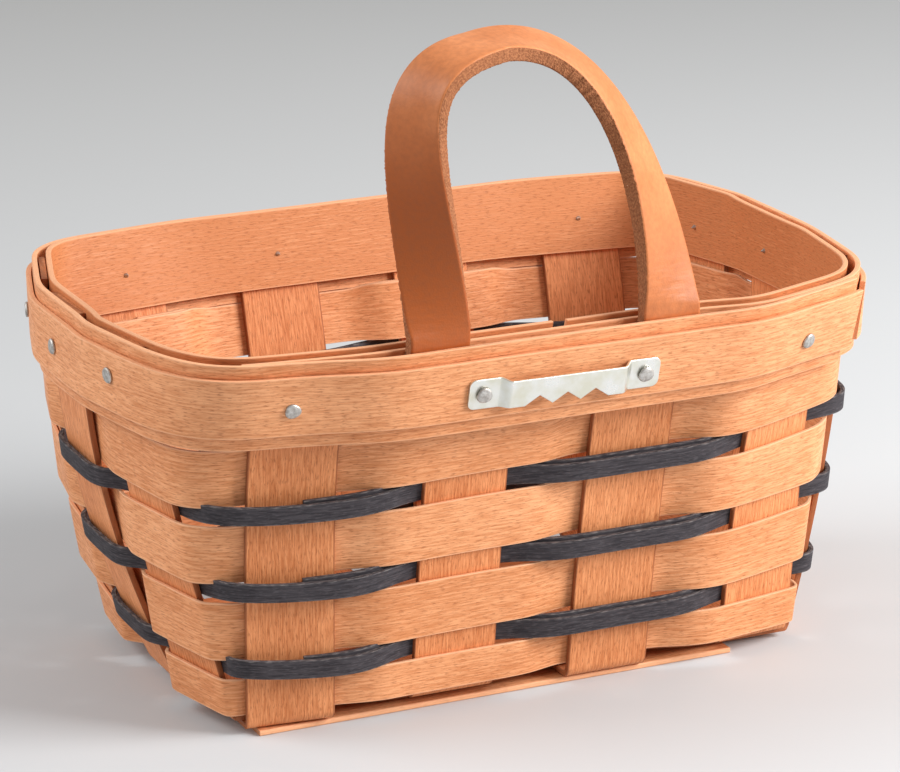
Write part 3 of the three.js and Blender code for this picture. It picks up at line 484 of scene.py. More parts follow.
# %% Grain group
GRAIN_NOISES = {  # scale along and across the strip, detail, lowest and highest value
    "Streak": ((130.0, 1700.0, 1.0), 5.0, 0.34, 0.66),
    "Fleck": ((420.0, 2600.0, 1.0), 3.0, 0.54, 0.76),
    "Cloud": ((16.0, 60.0, 1.0), 2.0, 0.32, 0.68),
}
grain_group, grain_in, grain_out = new_group("wood_grain", [("Map", "NodeSocketVector")], GRAIN_NOISES)
for socket, settings in GRAIN_NOISES.items():
    value = stretched_noise(grain_group, grain_in.outputs["Map"], *settings)
    grain_group.links.new(value, grain_out.inputs[socket])
print("grain group has", len(grain_group.nodes), "nodes")


# %% Wood finishes
def strip_map(tree):
    """The piece's own map, in metres along and across the strip."""
    return add_node(tree, "ShaderNodeUVMap", uv_map=MAP_NAME).outputs[0]


def mark(tree, name):
    """A value that travels with the points of a piece."""
    return add_node(tree, "ShaderNodeAttribute", attribute_name=name).outputs["Fac"]


def new_finish(name):
    """An empty material with its shader node."""
    material = bpy.data.materials.new(name)
    material.use_nodes = True
    tree = material.node_tree
    return material, tree, tree.nodes["Principled BSDF"]


STREAK_SHARE, CLOUD_SHARE, TONE_SHARE, FLECK_SHARE = 0.62, 0.30, 0.3, 0.7
STREAK_ROUGHNESS = 0.12
GRAIN_STRENGTH, GRAIN_DEPTH = 0.4, 0.0001
WOOD_SPECULAR = 0.25


def add_grain(tree, shader):
    """Puts the grain's relief on a shader and gives its streaks, flecks and clouds as outputs."""
    grain = add_node(tree, "ShaderNodeGroup", node_tree=grain_group)
    tree.links.new(strip_map(tree), grain.inputs["Map"])
    relief = math(tree, "ADD", grain.outputs["Streak"], grain.outputs["Fleck"])
    add_bump(tree, shader, relief, GRAIN_STRENGTH, GRAIN_DEPTH, True)
    shader.inputs["Specular IOR Level"].default_value = WOOD_SPECULAR
    return grain.outputs["Streak"], grain.outputs["Fleck"], grain.outputs["Cloud"]


def wood_finish(name, pale, deep, fleck, cut, roughness, cut_share):
    """Split wood: pale to deep by streak, cloud and the strip's tone, short flecks darker, cut edges in a
    colour of their own, which on the splints is a dark painted shade."""
    material, tree, shader = new_finish(name)
    streaks, flecks, clouds = add_grain(tree, shader)
    tone = mark(tree, "tone")
    shade = weighted(tree, (streaks, STREAK_SHARE), (clouds, CLOUD_SHARE), (tone, TONE_SHARE))
    body = blend_colour(tree, shade, pale, deep)
    flecked = blend_colour(tree, weighted(tree, (flecks, FLECK_SHARE)), body, fleck)
    edged = blend_colour(tree, weighted(tree, (mark(tree, "edge"), cut_share)), flecked, cut)
    tree.links.new(edged, shader.inputs["Base Color"])
    rough = math(tree, "ADD", weighted(tree, (streaks, STREAK_ROUGHNESS)), roughness)
    tree.links.new(rough, shader.inputs["Roughness"])
    return material


# The splints' cut colour is painted shade: dark and strong, it stands in for the shadow gaps beside each
# splint.
SPLINT_WOOD = wood_finish("splint_wood", pale=(0.86, 0.355, 0.150, 1), deep=(0.56, 0.180, 0.060, 1),
                          fleck=(0.34, 0.095, 0.030, 1), cut=(0.26, 0.075, 0.026, 1), roughness=0.50,
                          cut_share=0.8)
WEAVER_WOOD = wood_finish("weaver_wood", pale=(0.94, 0.450, 0.220, 1), deep=(0.64, 0.240, 0.092, 1),
                          fleck=(0.38, 0.115, 0.038, 1), cut=(0.92, 0.53, 0.32, 1), roughness=0.48,
                          cut_share=0.6)
BAND_WOOD = wood_finish("band_wood", pale=(0.93, 0.440, 0.212, 1), deep=(0.62, 0.230, 0.088, 1),
                        fleck=(0.38, 0.115, 0.038, 1), cut=(0.90, 0.48, 0.27, 1), roughness=0.48,
                        cut_share=0.6)
print("wood finishes:", SPLINT_WOOD.name, WEAVER_WOOD.name, BAND_WOOD.name)

# %% [markdown]
# ## Dyed wood
# The narrow rows are dyed nearly black. The dye has faded along the grain, and the cut edges are rubbed
# paler. One plain dark colour would look like plastic, so the grain group drives the fading, and a noise
# wears the edges in places.

# %% Dyed wood for the dark rows
FADE_STREAK, FADE_FLECK = 0.4, 0.5
RUB_NOISE = ((420.0, 1600.0, 1.0), 3.0, 0.42, 0.80)


def dyed_finish(name, ink, faded, retinted, roughness):
    """Dyed wood: charcoal, faded by streak and fleck, and worn to pale grey along parts of the cut edges."""
    material, tree, shader = new_finish(name)
    streaks, flecks, _ = add_grain(tree, shader)
    body = blend_colour(tree, weighted(tree, (streaks, FADE_STREAK), (flecks, FADE_FLECK)), ink, faded)
    rub = stretched_noise(tree, strip_map(tree), *RUB_NOISE)
    edged = blend_colour(tree, math(tree, "MULTIPLY", rub, mark(tree, "edge")), body, retinted)
    tree.links.new(edged, shader.inputs["Base Color"])
    shader.inputs["Roughness"].default_value = roughness
    return material


DARK_WOOD = dyed_finish("dark_wood", ink=(0.026, 0.022, 0.026, 1), faded=(0.105, 0.092, 0.100, 1),
                        retinted=(0.19, 0.172, 0.168, 1), roughness=0.7)
print("dyed finish:", DARK_WOOD.name)

# %% [markdown]
# ## Steel
# The nails are plain steel and the hanger is plated. A single colour would look like paint, because even
# clean metal has spots that are duller and rougher. One function makes both finishes from two tones.

# %% Metal finishes
METAL_DETAIL = 4.0
METAL_LOW, METAL_HIGH = 0.35, 0.65
DULL_ROUGHNESS = 0.18
METAL_STRENGTH = 0.3


def metal_finish(name, bright, dull, roughness, scale, depth):
    """Plated or plain steel: two tones by a noise on object coordinates, rougher where it is duller."""
    material, tree, shader = new_finish(name)
    place = add_node(tree, "ShaderNodeTexCoord").outputs["Object"]
    fields = [("Vector", place), ("Scale", scale), ("Detail", METAL_DETAIL)]
    noise = add_node(tree, "ShaderNodeTexNoise", fields).outputs[0]
    dulled = spread(tree, noise, METAL_LOW, METAL_HIGH)
    tree.links.new(blend_colour(tree, dulled, bright, dull), shader.inputs["Base Color"])
    rough = math(tree, "ADD", weighted(tree, (dulled, DULL_ROUGHNESS)), roughness)
    tree.links.new(rough, shader.inputs["Roughness"])
    add_bump(tree, shader, noise, METAL_STRENGTH, depth)
    shader.inputs["Metallic"].default_value = 1.0
    return material


NAIL_STEEL = metal_finish("nail_steel", bright=(0.64, 0.62, 0.59, 1), dull=(0.40, 0.37, 0.34, 1),
                          roughness=0.42, scale=900.0, depth=0.0002)
PLATED_STEEL = metal_finish("plated_steel", bright=(0.86, 0.87, 0.84, 1), dull=(0.74, 0.73, 0.62, 1),
                            roughness=0.26, scale=160.0, depth=0.00004)
print("metal finishes:", NAIL_STEEL.name, PLATED_STEEL.name)

# %% [markdown]
# ## Leather
# The strap is smooth and tan on its face, raw on its back and its cut edges. Its left leg is darkened
# with painted shade, and its right foot is darker as well. A material for each would leave a hard line
# between them, so one material mixes them by the values on the points.

# %% Leather
CLOUD_NOISE = ((55.0, 70.0, 1.0), 3.0, 0.3, 0.7)
SPECK_NOISE = ((620.0, 620.0, 1.0), 4.0, 0.35, 0.75)
FUZZ_NOISE = ((1300.0, 2000.0, 1.0), 4.0, 0.3, 0.75)
CREASE_NOISE = ((420.0, 90.0, 1.0), 2.0, 0.3, 0.7)
PEBBLE_SCALE = 1700.0
SPECK_SHARE = 0.26
PEBBLE_RELIEF, CREASE_RELIEF, FUZZ_RELIEF = 0.22, 1.0, 2.0
LEATHER_STRENGTH, LEATHER_DEPTH = 0.5, 0.0002
LEATHER_ROUGHNESS, CUT_ROUGHNESS, CLOUD_ROUGHNESS = 0.42, 0.4, 0.08
LEATHER_SPECULAR = 0.28


def leather_finish(name, tan, deep, shade_and_foot_colour, cut, fibre):
    """Saddle leather: two tones of tan with a fine pebble and creases at the feet, painted shade on the left
    leg and a darker right foot, raw fibre on the cut edges."""
    material, tree, shader = new_finish(name)
    place = strip_map(tree)
    edge = mark(tree, "edge")
    cloud, speck, fuzz, crease = (stretched_noise(tree, place, *settings)
                                  for settings in (CLOUD_NOISE, SPECK_NOISE, FUZZ_NOISE, CREASE_NOISE))
    # Painted shade: the mark pulls the left leg towards the shade colour, and darkens the right foot too.
    retinted = blend_colour(tree, mark(tree, "painted_shade_and_foot_darkening"), blend_colour(tree, cloud, tan, deep), shade_and_foot_colour)
    body = blend_colour(tree, weighted(tree, (speck, SPECK_SHARE)), retinted, cut)
    raw = blend_colour(tree, fuzz, cut, fibre)
    tree.links.new(blend_colour(tree, edge, body, raw), shader.inputs["Base Color"])
    fields = [("Vector", place), ("Scale", PEBBLE_SCALE)]
    pebble = add_node(tree, "ShaderNodeTexVoronoi", fields, voronoi_dimensions="2D").outputs["Distance"]
    creased = math(tree, "MULTIPLY", crease, mark(tree, "crease"))
    frayed = math(tree, "MULTIPLY", fuzz, edge)
    relief = weighted(tree, (pebble, PEBBLE_RELIEF), (creased, CREASE_RELIEF), (frayed, FUZZ_RELIEF))
    add_bump(tree, shader, relief, LEATHER_STRENGTH, LEATHER_DEPTH)
    rough = weighted(tree, (edge, CUT_ROUGHNESS), (cloud, CLOUD_ROUGHNESS))
    tree.links.new(math(tree, "ADD", rough, LEATHER_ROUGHNESS), shader.inputs["Roughness"])
    shader.inputs["Specular IOR Level"].default_value = LEATHER_SPECULAR
    return material


# The shade colour paints shade onto the left leg and darkens the right foot.
LEATHER = leather_finish("strap_leather", tan=(0.74, 0.275, 0.105, 1), deep=(0.60, 0.200, 0.066, 1),
                         shade_and_foot_colour=(0.37, 0.086, 0.017, 1), cut=(0.24, 0.080, 0.032, 1),
                         fibre=(0.43, 0.170, 0.070, 1))
print("leather finish:", LEATHER.name)

# %% [markdown]
# ## Weavers
# Each row is one long strip. It passes outside one splint and inside the next, and after a full turn its
# end lies over its own start across four splints. A wave along a straight strip would weave too, but it
# wouldn't know where the splints are. So the path gives the wall's middle, and the offset from it swings
# between outside and inside in each gap. Round the ends the strip stands straighter than the flared wall,
# because a flat strip can't follow a cone. Towards the back and the right the rows ride up a little, the
# top ones most.

# %% A strip on the wall
STEPS_PER_SPLINT = 32


def strip_grid(place, low, high, offset, thickness, follow, rounding, smoothing, pivot=None):
    """Points of a strip: the path at each profile height, moved out by the offset and the profile's depth.
    Low, high, offset and follow are given per station; follow is the share of the wall's flare that the strip
    takes up above and below the pivot height, which is its own middle where none is given. Smoothing is the
    number of stations over which the strip rounds off a bend."""
    rise, depth, edge, around = strip_profile(float(np.mean(high - low)), thickness, rounding)
    level = rise / np.ptp(rise)
    middle = ((low + high) / 2)[:, None]
    height = middle + (high - low)[:, None] * level
    held = middle if pivot is None else pivot
    point, out = wall_path(place[:, None], held + follow[:, None] * (height - held))
    flat = point + (offset[:, None] + depth)[..., None] * out
    grid = np.concatenate([flat, height[..., None]], -1)
    grid = smoothed(grid.reshape(len(place), -1), smoothing).reshape(grid.shape)
    return grid, np.tile(edge, len(place)), around


print("stations in a turn:", TURN * STEPS_PER_SPLINT)

# %% Where a row lies
LAP_SPLINTS = 4
STAND_UP = 0.46
WEAVE_FIT = 0.25
DARK_LOOSE = 1.0
BACK_RISE = 5.2
RIGHT_REACH = 0.45
END_START = 0.78


def weaver_offsets(ordinals, start, dark, thickness, low, high):
    """Offset and follow at each splint: outside and inside in turn, with room for the lap's two layers."""
    middle = (low + high) / 2
    _, way = splint_frame(ordinals, np.full(len(ordinals), middle))
    follow = 1.0 - STAND_UP * way[:, 1] ** 2
    outside = np.where(ordinals % 2 == (0 if dark else 1), 1.0, -1.0)
    stood = (1.0 - follow) * np.abs(flare_at(ordinals, np.full(len(ordinals), middle))) * (high - low) / 2
    loose = np.where(outside > 0, DARK_LOOSE if dark else 0.0, 0.0)
    single = SPLINT_THICKNESS / 2 + WEAVE_FIT + thickness / 2 + stood + loose
    shift = (thickness + FIT) / 2
    lap = np.where(ordinals < start + LAP_SPLINTS, -shift, np.where(ordinals >= start + TURN, shift, 0.0))
    return outside * (single + np.abs(lap)) + lap, follow


def row_rise(place, middle, end_rise):
    """How far a row rides up along its way: in proportion to its height towards the back and the right, and
    by a further end rise round the right end."""
    along, across = np.moveaxis(wall_path(place, middle)[0], -1, 0)
    to_back = ease((across - across.min()) / np.ptp(across))
    right_share = (along - along.min()) / np.ptp(along)
    level_left = (1.0 - to_back) * (1.0 - ease(right_share / RIGHT_REACH))
    at_end = ease((right_share - END_START) / (1.0 - END_START)) * (1.0 - to_back)
    return BACK_RISE * middle / RIM_TOP * (1.0 - level_left) + end_rise * at_end


print("splints that a row laps over:", LAP_SPLINTS)

# %% Weave the rows
WIDE_THICKNESS = 1.1
DARK_THICKNESS = 1.5
DIVE = 17.0
LAP_RISE = 1.0
DARK_TUCK = 2.2
TUCK_BEFORE = 0.12
TUCK_SPAN = 0.3
END_RISE = 2.4
CORNER_GAP = 30.0
CORNER_DIP = 3.4
EDGE_WANDER = 0.14
BAND_ROOM = 0.3
ROW_ROUNDING = 0.13
ROW_SMOOTHING = 9
DARK_SMOOTHING = 19


def weave_row(node, dark, start):
    """One row, from the middle of its first splint to the middle of the last one it laps over. In a gap it
    stays outside and passes the wall's middle close to the splint that it goes behind. The lowest row reaches
    further down at the corners, where no splint is in its way, and the dark rows are tucked up where their
    laps end. No row reaches up into the rim bands."""
    low, high = node_heights(node)
    thickness = DARK_THICKNESS if dark else WIDE_THICKNESS
    end = start + TURN + LAP_SPLINTS - 1
    ordinals = np.arange(start, end + 2)
    offsets, follows = weaver_offsets(ordinals, start, dark, thickness, low, high)
    place = np.linspace(start + FLAT / 2, end + FLAT / 2, (end - start) * STEPS_PER_SPLINT)
    step = np.floor(place).astype(int) - start
    swing = (place - start - step - FLAT) / (1.0 - FLAT)
    frames = [splint_frame(ordinals + k, np.full(len(ordinals), (low + high) / 2)) for k in (0, 1)]
    gaps = gap_between(*frames[0], *frames[1])
    dive = np.minimum(1.0, DIVE / gaps[step, 0])
    going_in = offsets[step] > offsets[step + 1]
    offset = mix(offsets[step], offsets[step + 1], ease(np.where(going_in, swing - 1.0 + dive, swing) / dive))
    follow = mix(follows[step], follows[step + 1], ease(swing))
    first_layer = LAP_RISE * (1.0 - ease((place - start - LAP_SPLINTS + 1) / FLAT)) if dark else 0.0
    lowest = node == WIDE_ROWS[0]
    tuck = DARK_TUCK * np.exp(-((place - start - TURN + TUCK_BEFORE) / TUCK_SPAN) ** 2) if dark else 0.0
    lift = first_layer + tuck + row_rise(place, (low + high) / 2, 0.0 if lowest else END_RISE)
    in_corner = gaps[step, 0] > CORNER_GAP
    dip = CORNER_DIP * np.sin(np.pi * np.clip(swing, 0.0, 1.0)) ** 2 if lowest else 0.0
    lows = low + wander(place, EDGE_WANDER) + lift - np.where(in_corner, dip, 0.0)
    ceiling = mix(INNER_LOW, OUTER_LOW, ease(offset / SPLINT_THICKNESS + 0.5)) - BAND_ROOM
    highs = np.minimum(high + wander(place, EDGE_WANDER) + lift, ceiling)
    grid, edge, around = strip_grid(place, lows, highs, offset, thickness, follow, thickness * ROW_ROUNDING,
                                    DARK_SMOOTHING if dark else ROW_SMOOTHING)
    slot, material = ("dark_wood", DARK_WOOD) if dark else ("weaver_wood", WEAVER_WOOD)
    wood_strip(node, material, grid, running(grid[:, 0]), around, edge, rng.uniform())


for row_node in WIDE_ROWS:
    weave_row(row_node, False, BACK_RIGHT)
for row_node in DARK_ROWS:
    weave_row(row_node, True, 0)
print("rows woven:", len(WIDE_ROWS) + len(DARK_ROWS))

# %% [markdown]
# ## Splints
# A splint is one strip: down a wall, round a tight bend, over and under the crossing strips of the floor,
# and up the opposite wall. A plane made thick by a modifier would have square edges, so each station of the
# path carries the same rounded profile. On the walls it stands on the wall's middle surface, on the floor
# it lies flat, and the bend is a quadratic curve between the two.

# %% Rings of a splint
SPLINT_DROP = 0.8
SPLINT_TOP = RIM_TOP - SPLINT_DROP
FLOOR_MIDDLE = RUNNER_TOP + FIT + SPLINT_THICKNESS + FIT / 2
FLOOR_OFFSET = (SPLINT_THICKNESS + FIT) / 2


def wall_rings(ordinal, side, height, across, depth, drop=0.0):
    """Profile rings on a wall: the splint's middle, plus a distance along it, plus a depth outwards."""
    middle, way = splint_frame(np.full(len(height), ordinal), height)
    flat = middle[:, None] - side * across[None, :, None] * way[:, None]
    flat = flat + depth[None, :, None] * outwards(way)[:, None]
    level = height[:, None] - drop * depth[None, :]
    return np.concatenate([flat, level[..., None]], -1)


def floor_rings(cross, place, along, level, across, depth):
    """Profile rings on the floor: the outer face looks down, and across is x or y by the strip's way."""
    shape = (len(along), len(across))
    run = np.broadcast_to(along[:, None], shape)
    wide = np.broadcast_to(place + across[None, :] if cross else place - across[None, :], shape)
    deep = level[:, None] - depth[None, :]
    return np.stack([wide, run, deep] if cross else [run, wide, deep], -1)


print("floor middle at", round(FLOOR_MIDDLE, 2), "and splint tops at", round(SPLINT_TOP, 2))

# %% Make the splints
BEND_RADIUS = 3.0
SPLINT_ROUNDING = 0.12
WALL_STEPS = 48
BEND_STEPS = 10
FLOOR_STEPS = 90


def splint_grid(cross, ends, crossing_at, crossing_level, place, across, depth):
    """All rings of one splint, from the top of its first wall to the top of its second."""
    grids = []
    reaches = []
    for side, ordinal, level in ((-1, ends[0], crossing_level[0]), (1, ends[1], crossing_level[-1])):
        height = np.linspace(SPLINT_TOP, level + BEND_RADIUS, WALL_STEPS)
        wall = wall_rings(ordinal, side, height, across, depth)
        reach = abs(splint_frame(ordinal, level)[0][1 if cross else 0])
        fold = wall_rings(ordinal, side, np.array([level]), across, depth, 1.0)
        start = side * (reach - BEND_RADIUS)
        flat = floor_rings(cross, place, np.array([start]), np.array([level]), across, depth)
        t = (np.arange(1, BEND_STEPS + 1) / BEND_STEPS)[:, None, None]
        bend = (1 - t) ** 2 * wall[-1:] + 2 * t * (1 - t) * fold + t ** 2 * flat
        grids.append(np.concatenate([wall, bend]))
        reaches.append(start)
    along = np.linspace(reaches[0], reaches[1], FLOOR_STEPS + 2)[1:-1]
    step = np.clip(np.searchsorted(crossing_at, along) - 1, 0, len(crossing_at) - 2)
    share = (along - crossing_at[step]) / (crossing_at[step + 1] - crossing_at[step])
    edge = SPLINT_WIDTH / 2 / (crossing_at[1] - crossing_at[0])
    level = mix(crossing_level[step], crossing_level[step + 1], ease((share - edge) / (1 - 2 * edge)))
    floor = floor_rings(cross, place, along, level, across, depth)
    return np.concatenate([grids[0], floor, grids[1][::-1]])


def make_splint(cross, index):
    """A splint that runs front to back if cross is true, and left to right otherwise."""
    count, other = (CROSS_COUNT, LONG_COUNT) if cross else (LONG_COUNT, CROSS_COUNT)
    pitch, other_pitch = (CROSS_PITCH, LONG_PITCH) if cross else (LONG_PITCH, CROSS_PITCH)
    over = np.where((index + np.arange(other)) % 2 == 1, 1.0, -1.0) * (1.0 if cross else -1.0)
    crossing_at = (np.arange(other) - (other - 1) / 2) * other_pitch
    place = (index - (count - 1) / 2) * pitch
    ends = (index, BACK_RIGHT + LAST_FRONT - index) if cross else (TURN - 1 - index, CROSS_COUNT + index)
    rounding = SPLINT_THICKNESS * SPLINT_ROUNDING
    across, depth, edge, around = strip_profile(SPLINT_WIDTH, SPLINT_THICKNESS, rounding, across=9)
    grid = splint_grid(cross, ends, crossing_at, FLOOR_MIDDLE + over * FLOOR_OFFSET, place, across, depth)
    node = f"splint_{'cross' if cross else 'long'}_{index + 1}"
    wood_strip(node, SPLINT_WOOD, grid, running(grid[:, 0]), around, np.tile(edge, len(grid)),
               rng.uniform())


for number in range(CROSS_COUNT):
    make_splint(True, number)
for number in range(LONG_COUNT):
    make_splint(False, number)
print("splints made:", CROSS_COUNT + LONG_COUNT)

# %% [markdown]
# ## Rim bands
# The rim clamps the splint tops between an inner band and an outer one. The outer band is longer than one
# turn: it lies over its own start along the hanger side, and the strap's tails sit between the two layers,
# so the outer layer bulges over them. A narrower trim covers it. Closed rings would be simpler, but they
# can't lie over themselves, so each band is an open strip on the path, as the weavers are.

# %% Where the bands lie
BAND_THICKNESS = 1.6
TRIM_FIT = 0.35
STRAP_THICKNESS = 4.3
STRAP_WIDTH = 17.5
STRAP_SHIFT = -5.0
STRAP_SPACING = 69.8
STRAP_LEGS = STRAP_SHIFT + np.array([-0.5, 0.5]) * STRAP_SPACING
BULGE_RUN = 30.0
BULGE_MARGIN = 1.5
BULGE_CLEAR = STRAP_WIDTH / 2 + BULGE_MARGIN
FIRST_OFFSET = SPLINT_THICKNESS / 2 + FIT + BAND_THICKNESS / 2
INNER_OFFSET = -FIRST_OFFSET
LAYER_STEP = BAND_THICKNESS + FIT
STRAP_OFFSET = FIRST_OFFSET + BAND_THICKNESS / 2 + FIT + STRAP_THICKNESS / 2
BAND_START = 3.0
STEP_CLEAR = 1.5
STEP_RUN = 22.0
BAND_STAND_UP = 0.57


def gap_share(ordinal, distance):
    """A distance into the gap after a splint, as a part of the path's unit, at the rim's middle height."""
    here, way_here = splint_frame(ordinal, RIM_MIDDLE)
    after, way_after = splint_frame(ordinal + 1, RIM_MIDDLE)
    return (1 - FLAT) * distance / float(gap_between(here, way_here, after, way_after)[0])


def strap_bulge(x):
    """Room for the strap under the outer layer: full between the legs, easing to nothing beside them."""
    past = np.maximum(np.maximum(STRAP_LEGS[0] - BULGE_CLEAR - x, x - STRAP_LEGS[1] - BULGE_CLEAR), 0.0)
    return (STRAP_THICKNESS + FIT) * (1 - ease(past / BULGE_RUN))


def outermost_offset(place):
    """Offset of the outer band where nothing but the trim lies over it: a step out before its own start."""
    on_front = np.where(place > TURN / 2, place - TURN, place)
    step_end = -gap_share(-1, BAND_START + STEP_CLEAR)
    step_start = -gap_share(-1, BAND_START + STEP_CLEAR + STEP_RUN)
    step = ease((on_front - step_start) / (step_end - step_start))
    point, _ = wall_path(on_front, RIM_MIDDLE)
    return FIRST_OFFSET + step * (LAYER_STEP + strap_bulge(point[..., 0]))


def band_stance(ordinal):
    """At a splint: the share of the flare that the outer band and the trim take up, and how far that moves
    their middle out so that they touch the wall only at the top."""
    level = np.full(np.shape(ordinal), RIM_MIDDLE)
    _, way = splint_frame(ordinal, level)
    follow = 1.0 - BAND_STAND_UP * way[..., 1] ** 2
    return follow, (1.0 - follow) * np.abs(flare_at(ordinal, level)) * (RIM_TOP - OUTER_LOW) / 2


def upright(place):
    """The same two values at any place on the path, eased from splint to splint across the gaps."""
    ordinal = np.floor(place).astype(int)
    share = ease((place - ordinal - FLAT) / (1.0 - FLAT))
    return [mix(here, after, share) for here, after in zip(band_stance(ordinal), band_stance(ordinal + 1))]


def outer_layout(place):
    """Offset and follow of the outer band: the first layer on its first pass of the hanger side."""
    follow, stood = upright(place)
    return np.where(place < TURN / 2, FIRST_OFFSET, outermost_offset(place)) + stood, follow


def trim_layout(place):
    """The trim lies on the outer band."""
    offset, follow = outer_layout(place)
    return offset + BAND_THICKNESS + TRIM_FIT, follow


def inner_layout(place):
    """The inner band hugs the inside of the splints."""
    return np.full_like(place, INNER_OFFSET), np.ones_like(place)


print("first layer of the outer band stands out by", round(FIRST_OFFSET, 2))

# %% Make the bands
BAND_ROUNDING = 0.2
BAND_SMOOTHING = 17
BAND_END = 5.0
TRIM_END = 7.0
TRIM_SEAM = 3.0
INNER_SEAM = 0.8
CUT_WANDER = 0.09
# The inner band's high tone is painted shade: it darkens the band to stand in for the shade inside the
# basket.
INNER_PAINTED_SHADE, OUTER_TONE, TRIM_TONE = 2.4, 0.5, 0.1


def make_band(node, start, end, low, high, layout, tone):
    """A band between two places on the path, with saw-cut edges that wander a little."""
    place = np.linspace(start, end, int((end - start) * STEPS_PER_SPLINT))
    lows = low + wander(place, CUT_WANDER)
    highs = high + wander(place, CUT_WANDER)
    offset, follow = layout(place)
    grid, edge, around = strip_grid(place, lows, highs, offset, BAND_THICKNESS, follow, BAND_ROUNDING,
                                    BAND_SMOOTHING, RIM_MIDDLE)
    wood_strip(node, BAND_WOOD, grid, running(grid[:, 0]), around, edge, tone)


def past_front(distance):
    """Place on the path at a distance past the last splint of the hanger side."""
    return LAST_FRONT + FLAT + gap_share(LAST_FRONT, distance)


SEAM_SPLINT = CROSS_COUNT // 2 - 1
SEAM_PLACE = SEAM_SPLINT + mix(FLAT, 1, FLAT)
make_band("rim_inner_band", SEAM_PLACE, SEAM_PLACE + TURN - gap_share(SEAM_SPLINT, INNER_SEAM),
          INNER_LOW, INNER_TOP, inner_layout, INNER_PAINTED_SHADE)
make_band("rim_outer_band", -gap_share(-1, BAND_START), past_front(BAND_END) + TURN,
          OUTER_LOW, RIM_TOP, outer_layout, OUTER_TONE)
make_band("rim_trim", past_front(TRIM_END + TRIM_SEAM), past_front(TRIM_END) + TURN,
          TRIM_LOW, TRIM_TOP, trim_layout, TRIM_TONE)
print("bands made: 3")

# %% [markdown]
# ## Floor runners
# Two flat strips under the floor keep the weave off the table. A box with a bevel would do. The strip
# profile gives the same eased edges and the grain map of the other strips as well.

# %% Floor runners
RUNNER_STATIONS = 60
RUNNER_ROUNDING = 0.3
RUNNER_TONES = (0.2, 0.8)
RUNNERS = {"base_runner_front": FRONT_RUNNER, "base_runner_back": BACK_RUNNER}
for runner_node, (low_corner, high_corner) in RUNNERS.items():
    middle = (low_corner + high_corner) / 2 - [MIDDLE_X, MIDDLE_Y, 0.0]
    size = high_corner - low_corner
    across, depth, edge, around = strip_profile(size[1], size[2], size[2] * RUNNER_ROUNDING)
    run = np.linspace(-size[0] / 2, size[0] / 2, RUNNER_STATIONS)
    grid = middle + np.stack(np.broadcast_arrays(run[:, None], across, depth), -1)
    wood_strip(runner_node, BAND_WOOD, grid, run, around, np.tile(edge, RUNNER_STATIONS),
               rng.uniform(*RUNNER_TONES))
print("runners made:", len(RUNNERS))

# %% [markdown]
# ## Nails
# One nail goes through each splint top. Its head is a flat dome, hammered a little out of round, and its
# tip shows inside. A screw modifier could spin the profile round the way out of the wall. Arrays do it
# here, so that each head gets its own wobble.

# %% Where the nails are
SPLINT_NAMES = [f"front_{i}" for i in range(1, CROSS_COUNT + 1)]
SPLINT_NAMES += [f"right_{i}" for i in range(1, LONG_COUNT + 1)]
SPLINT_NAMES += [f"back_{i}" for i in range(CROSS_COUNT, 0, -1)]
SPLINT_NAMES += [f"left_{i}" for i in range(LONG_COUNT, 0, -1)]
NAIL_SHIFTS = {  # along the splint's width and up
    "front_1": (-2.8, 1.0), "front_2": (-2.4, 1.9), "front_3": (-4.2, 1.2), "front_4": (-1.3, 0.0),
    "right_2": (0.0, 1.1), "left_1": (0.0, 2.3),
}
TRIM_FACE = 1.5 * BAND_THICKNESS + TRIM_FIT  # from the middle of the outer band


def nail_frame(ordinal):
    """Point on the wall's middle surface, the way out square to the outer band, and how far out the trim's
    face is. Some nails were driven off the middle of their splint."""
    aside, lift = NAIL_SHIFTS.get(SPLINT_NAMES[ordinal], (0.0, 0.0))
    height = NAIL_HEIGHT + lift
    middle, way = splint_frame(ordinal, height)
    follow, stood = band_stance(np.array(ordinal))
    lean = float(flare_at(np.array(ordinal), np.array(RIM_MIDDLE)))
    out = np.array([way[1], -way[0], -lean * float(follow)])
    out /= np.linalg.norm(out)
    place = ordinal + FLAT / 2 + FLAT * aside / SPLINT_WIDTH
    face = float(outermost_offset(np.array(place))) + TRIM_FACE
    face += float(stood) - lean * (1.0 - float(follow)) * (height - RIM_MIDDLE)
    return np.append(middle + aside * way, height), out, face * np.hypot(out[0], out[1])


print("first nail at", np.round(nail_frame(0)[0], 1))

# %% Make the nails
NAIL_HEAD_RADIUS = 2.3
NAIL_HEAD_HEIGHT = 0.9
NAIL_SHANK_RADIUS = 0.8
NAIL_POINT_RADIUS = 0.05
NAIL_TIP_OUT = 1.2
NAIL_SIDES = 28
NAIL_SEAT = 0.1
NECK_DROP = 0.05
HEAD_UNDERSIDE = 0.95
HEAD_EDGE = 0.15
DOME_RINGS = 7
DOME_START = 0.25
DOME_LAG = np.pi / 8 * 0.9
DOME_POWER = 0.55
DOME_TOP = 0.03
NAIL_WOBBLES = (0.02, 0.05)
WOBBLE_LOBES = 3
WOBBLE_TURN = 90
HANGER_METAL = 0.8
HANGER_SPLINTS = (CROSS_COUNT // 2 - 1, CROSS_COUNT // 2)


def spun(profile, axis, base, wobble):
    """Rings round an axis: radius and height of each profile point, turned through all angles, with the
    radius waved by the wobble's share."""
    side = np.cross(axis, [0.0, 0.0, 1.0])
    side /= np.linalg.norm(side)
    up = np.cross(side, axis)
    angle = np.linspace(0, 2 * np.pi, NAIL_SIDES, endpoint=False)
    radius = profile[:, :1] * (1 + wobble * np.sin(WOBBLE_LOBES * angle + wobble * WOBBLE_TURN))
    ring = np.cos(angle)[:, None] * side + np.sin(angle)[:, None] * up
    return base + radius[..., None] * ring + (profile[:, 1:] * axis)[:, None]


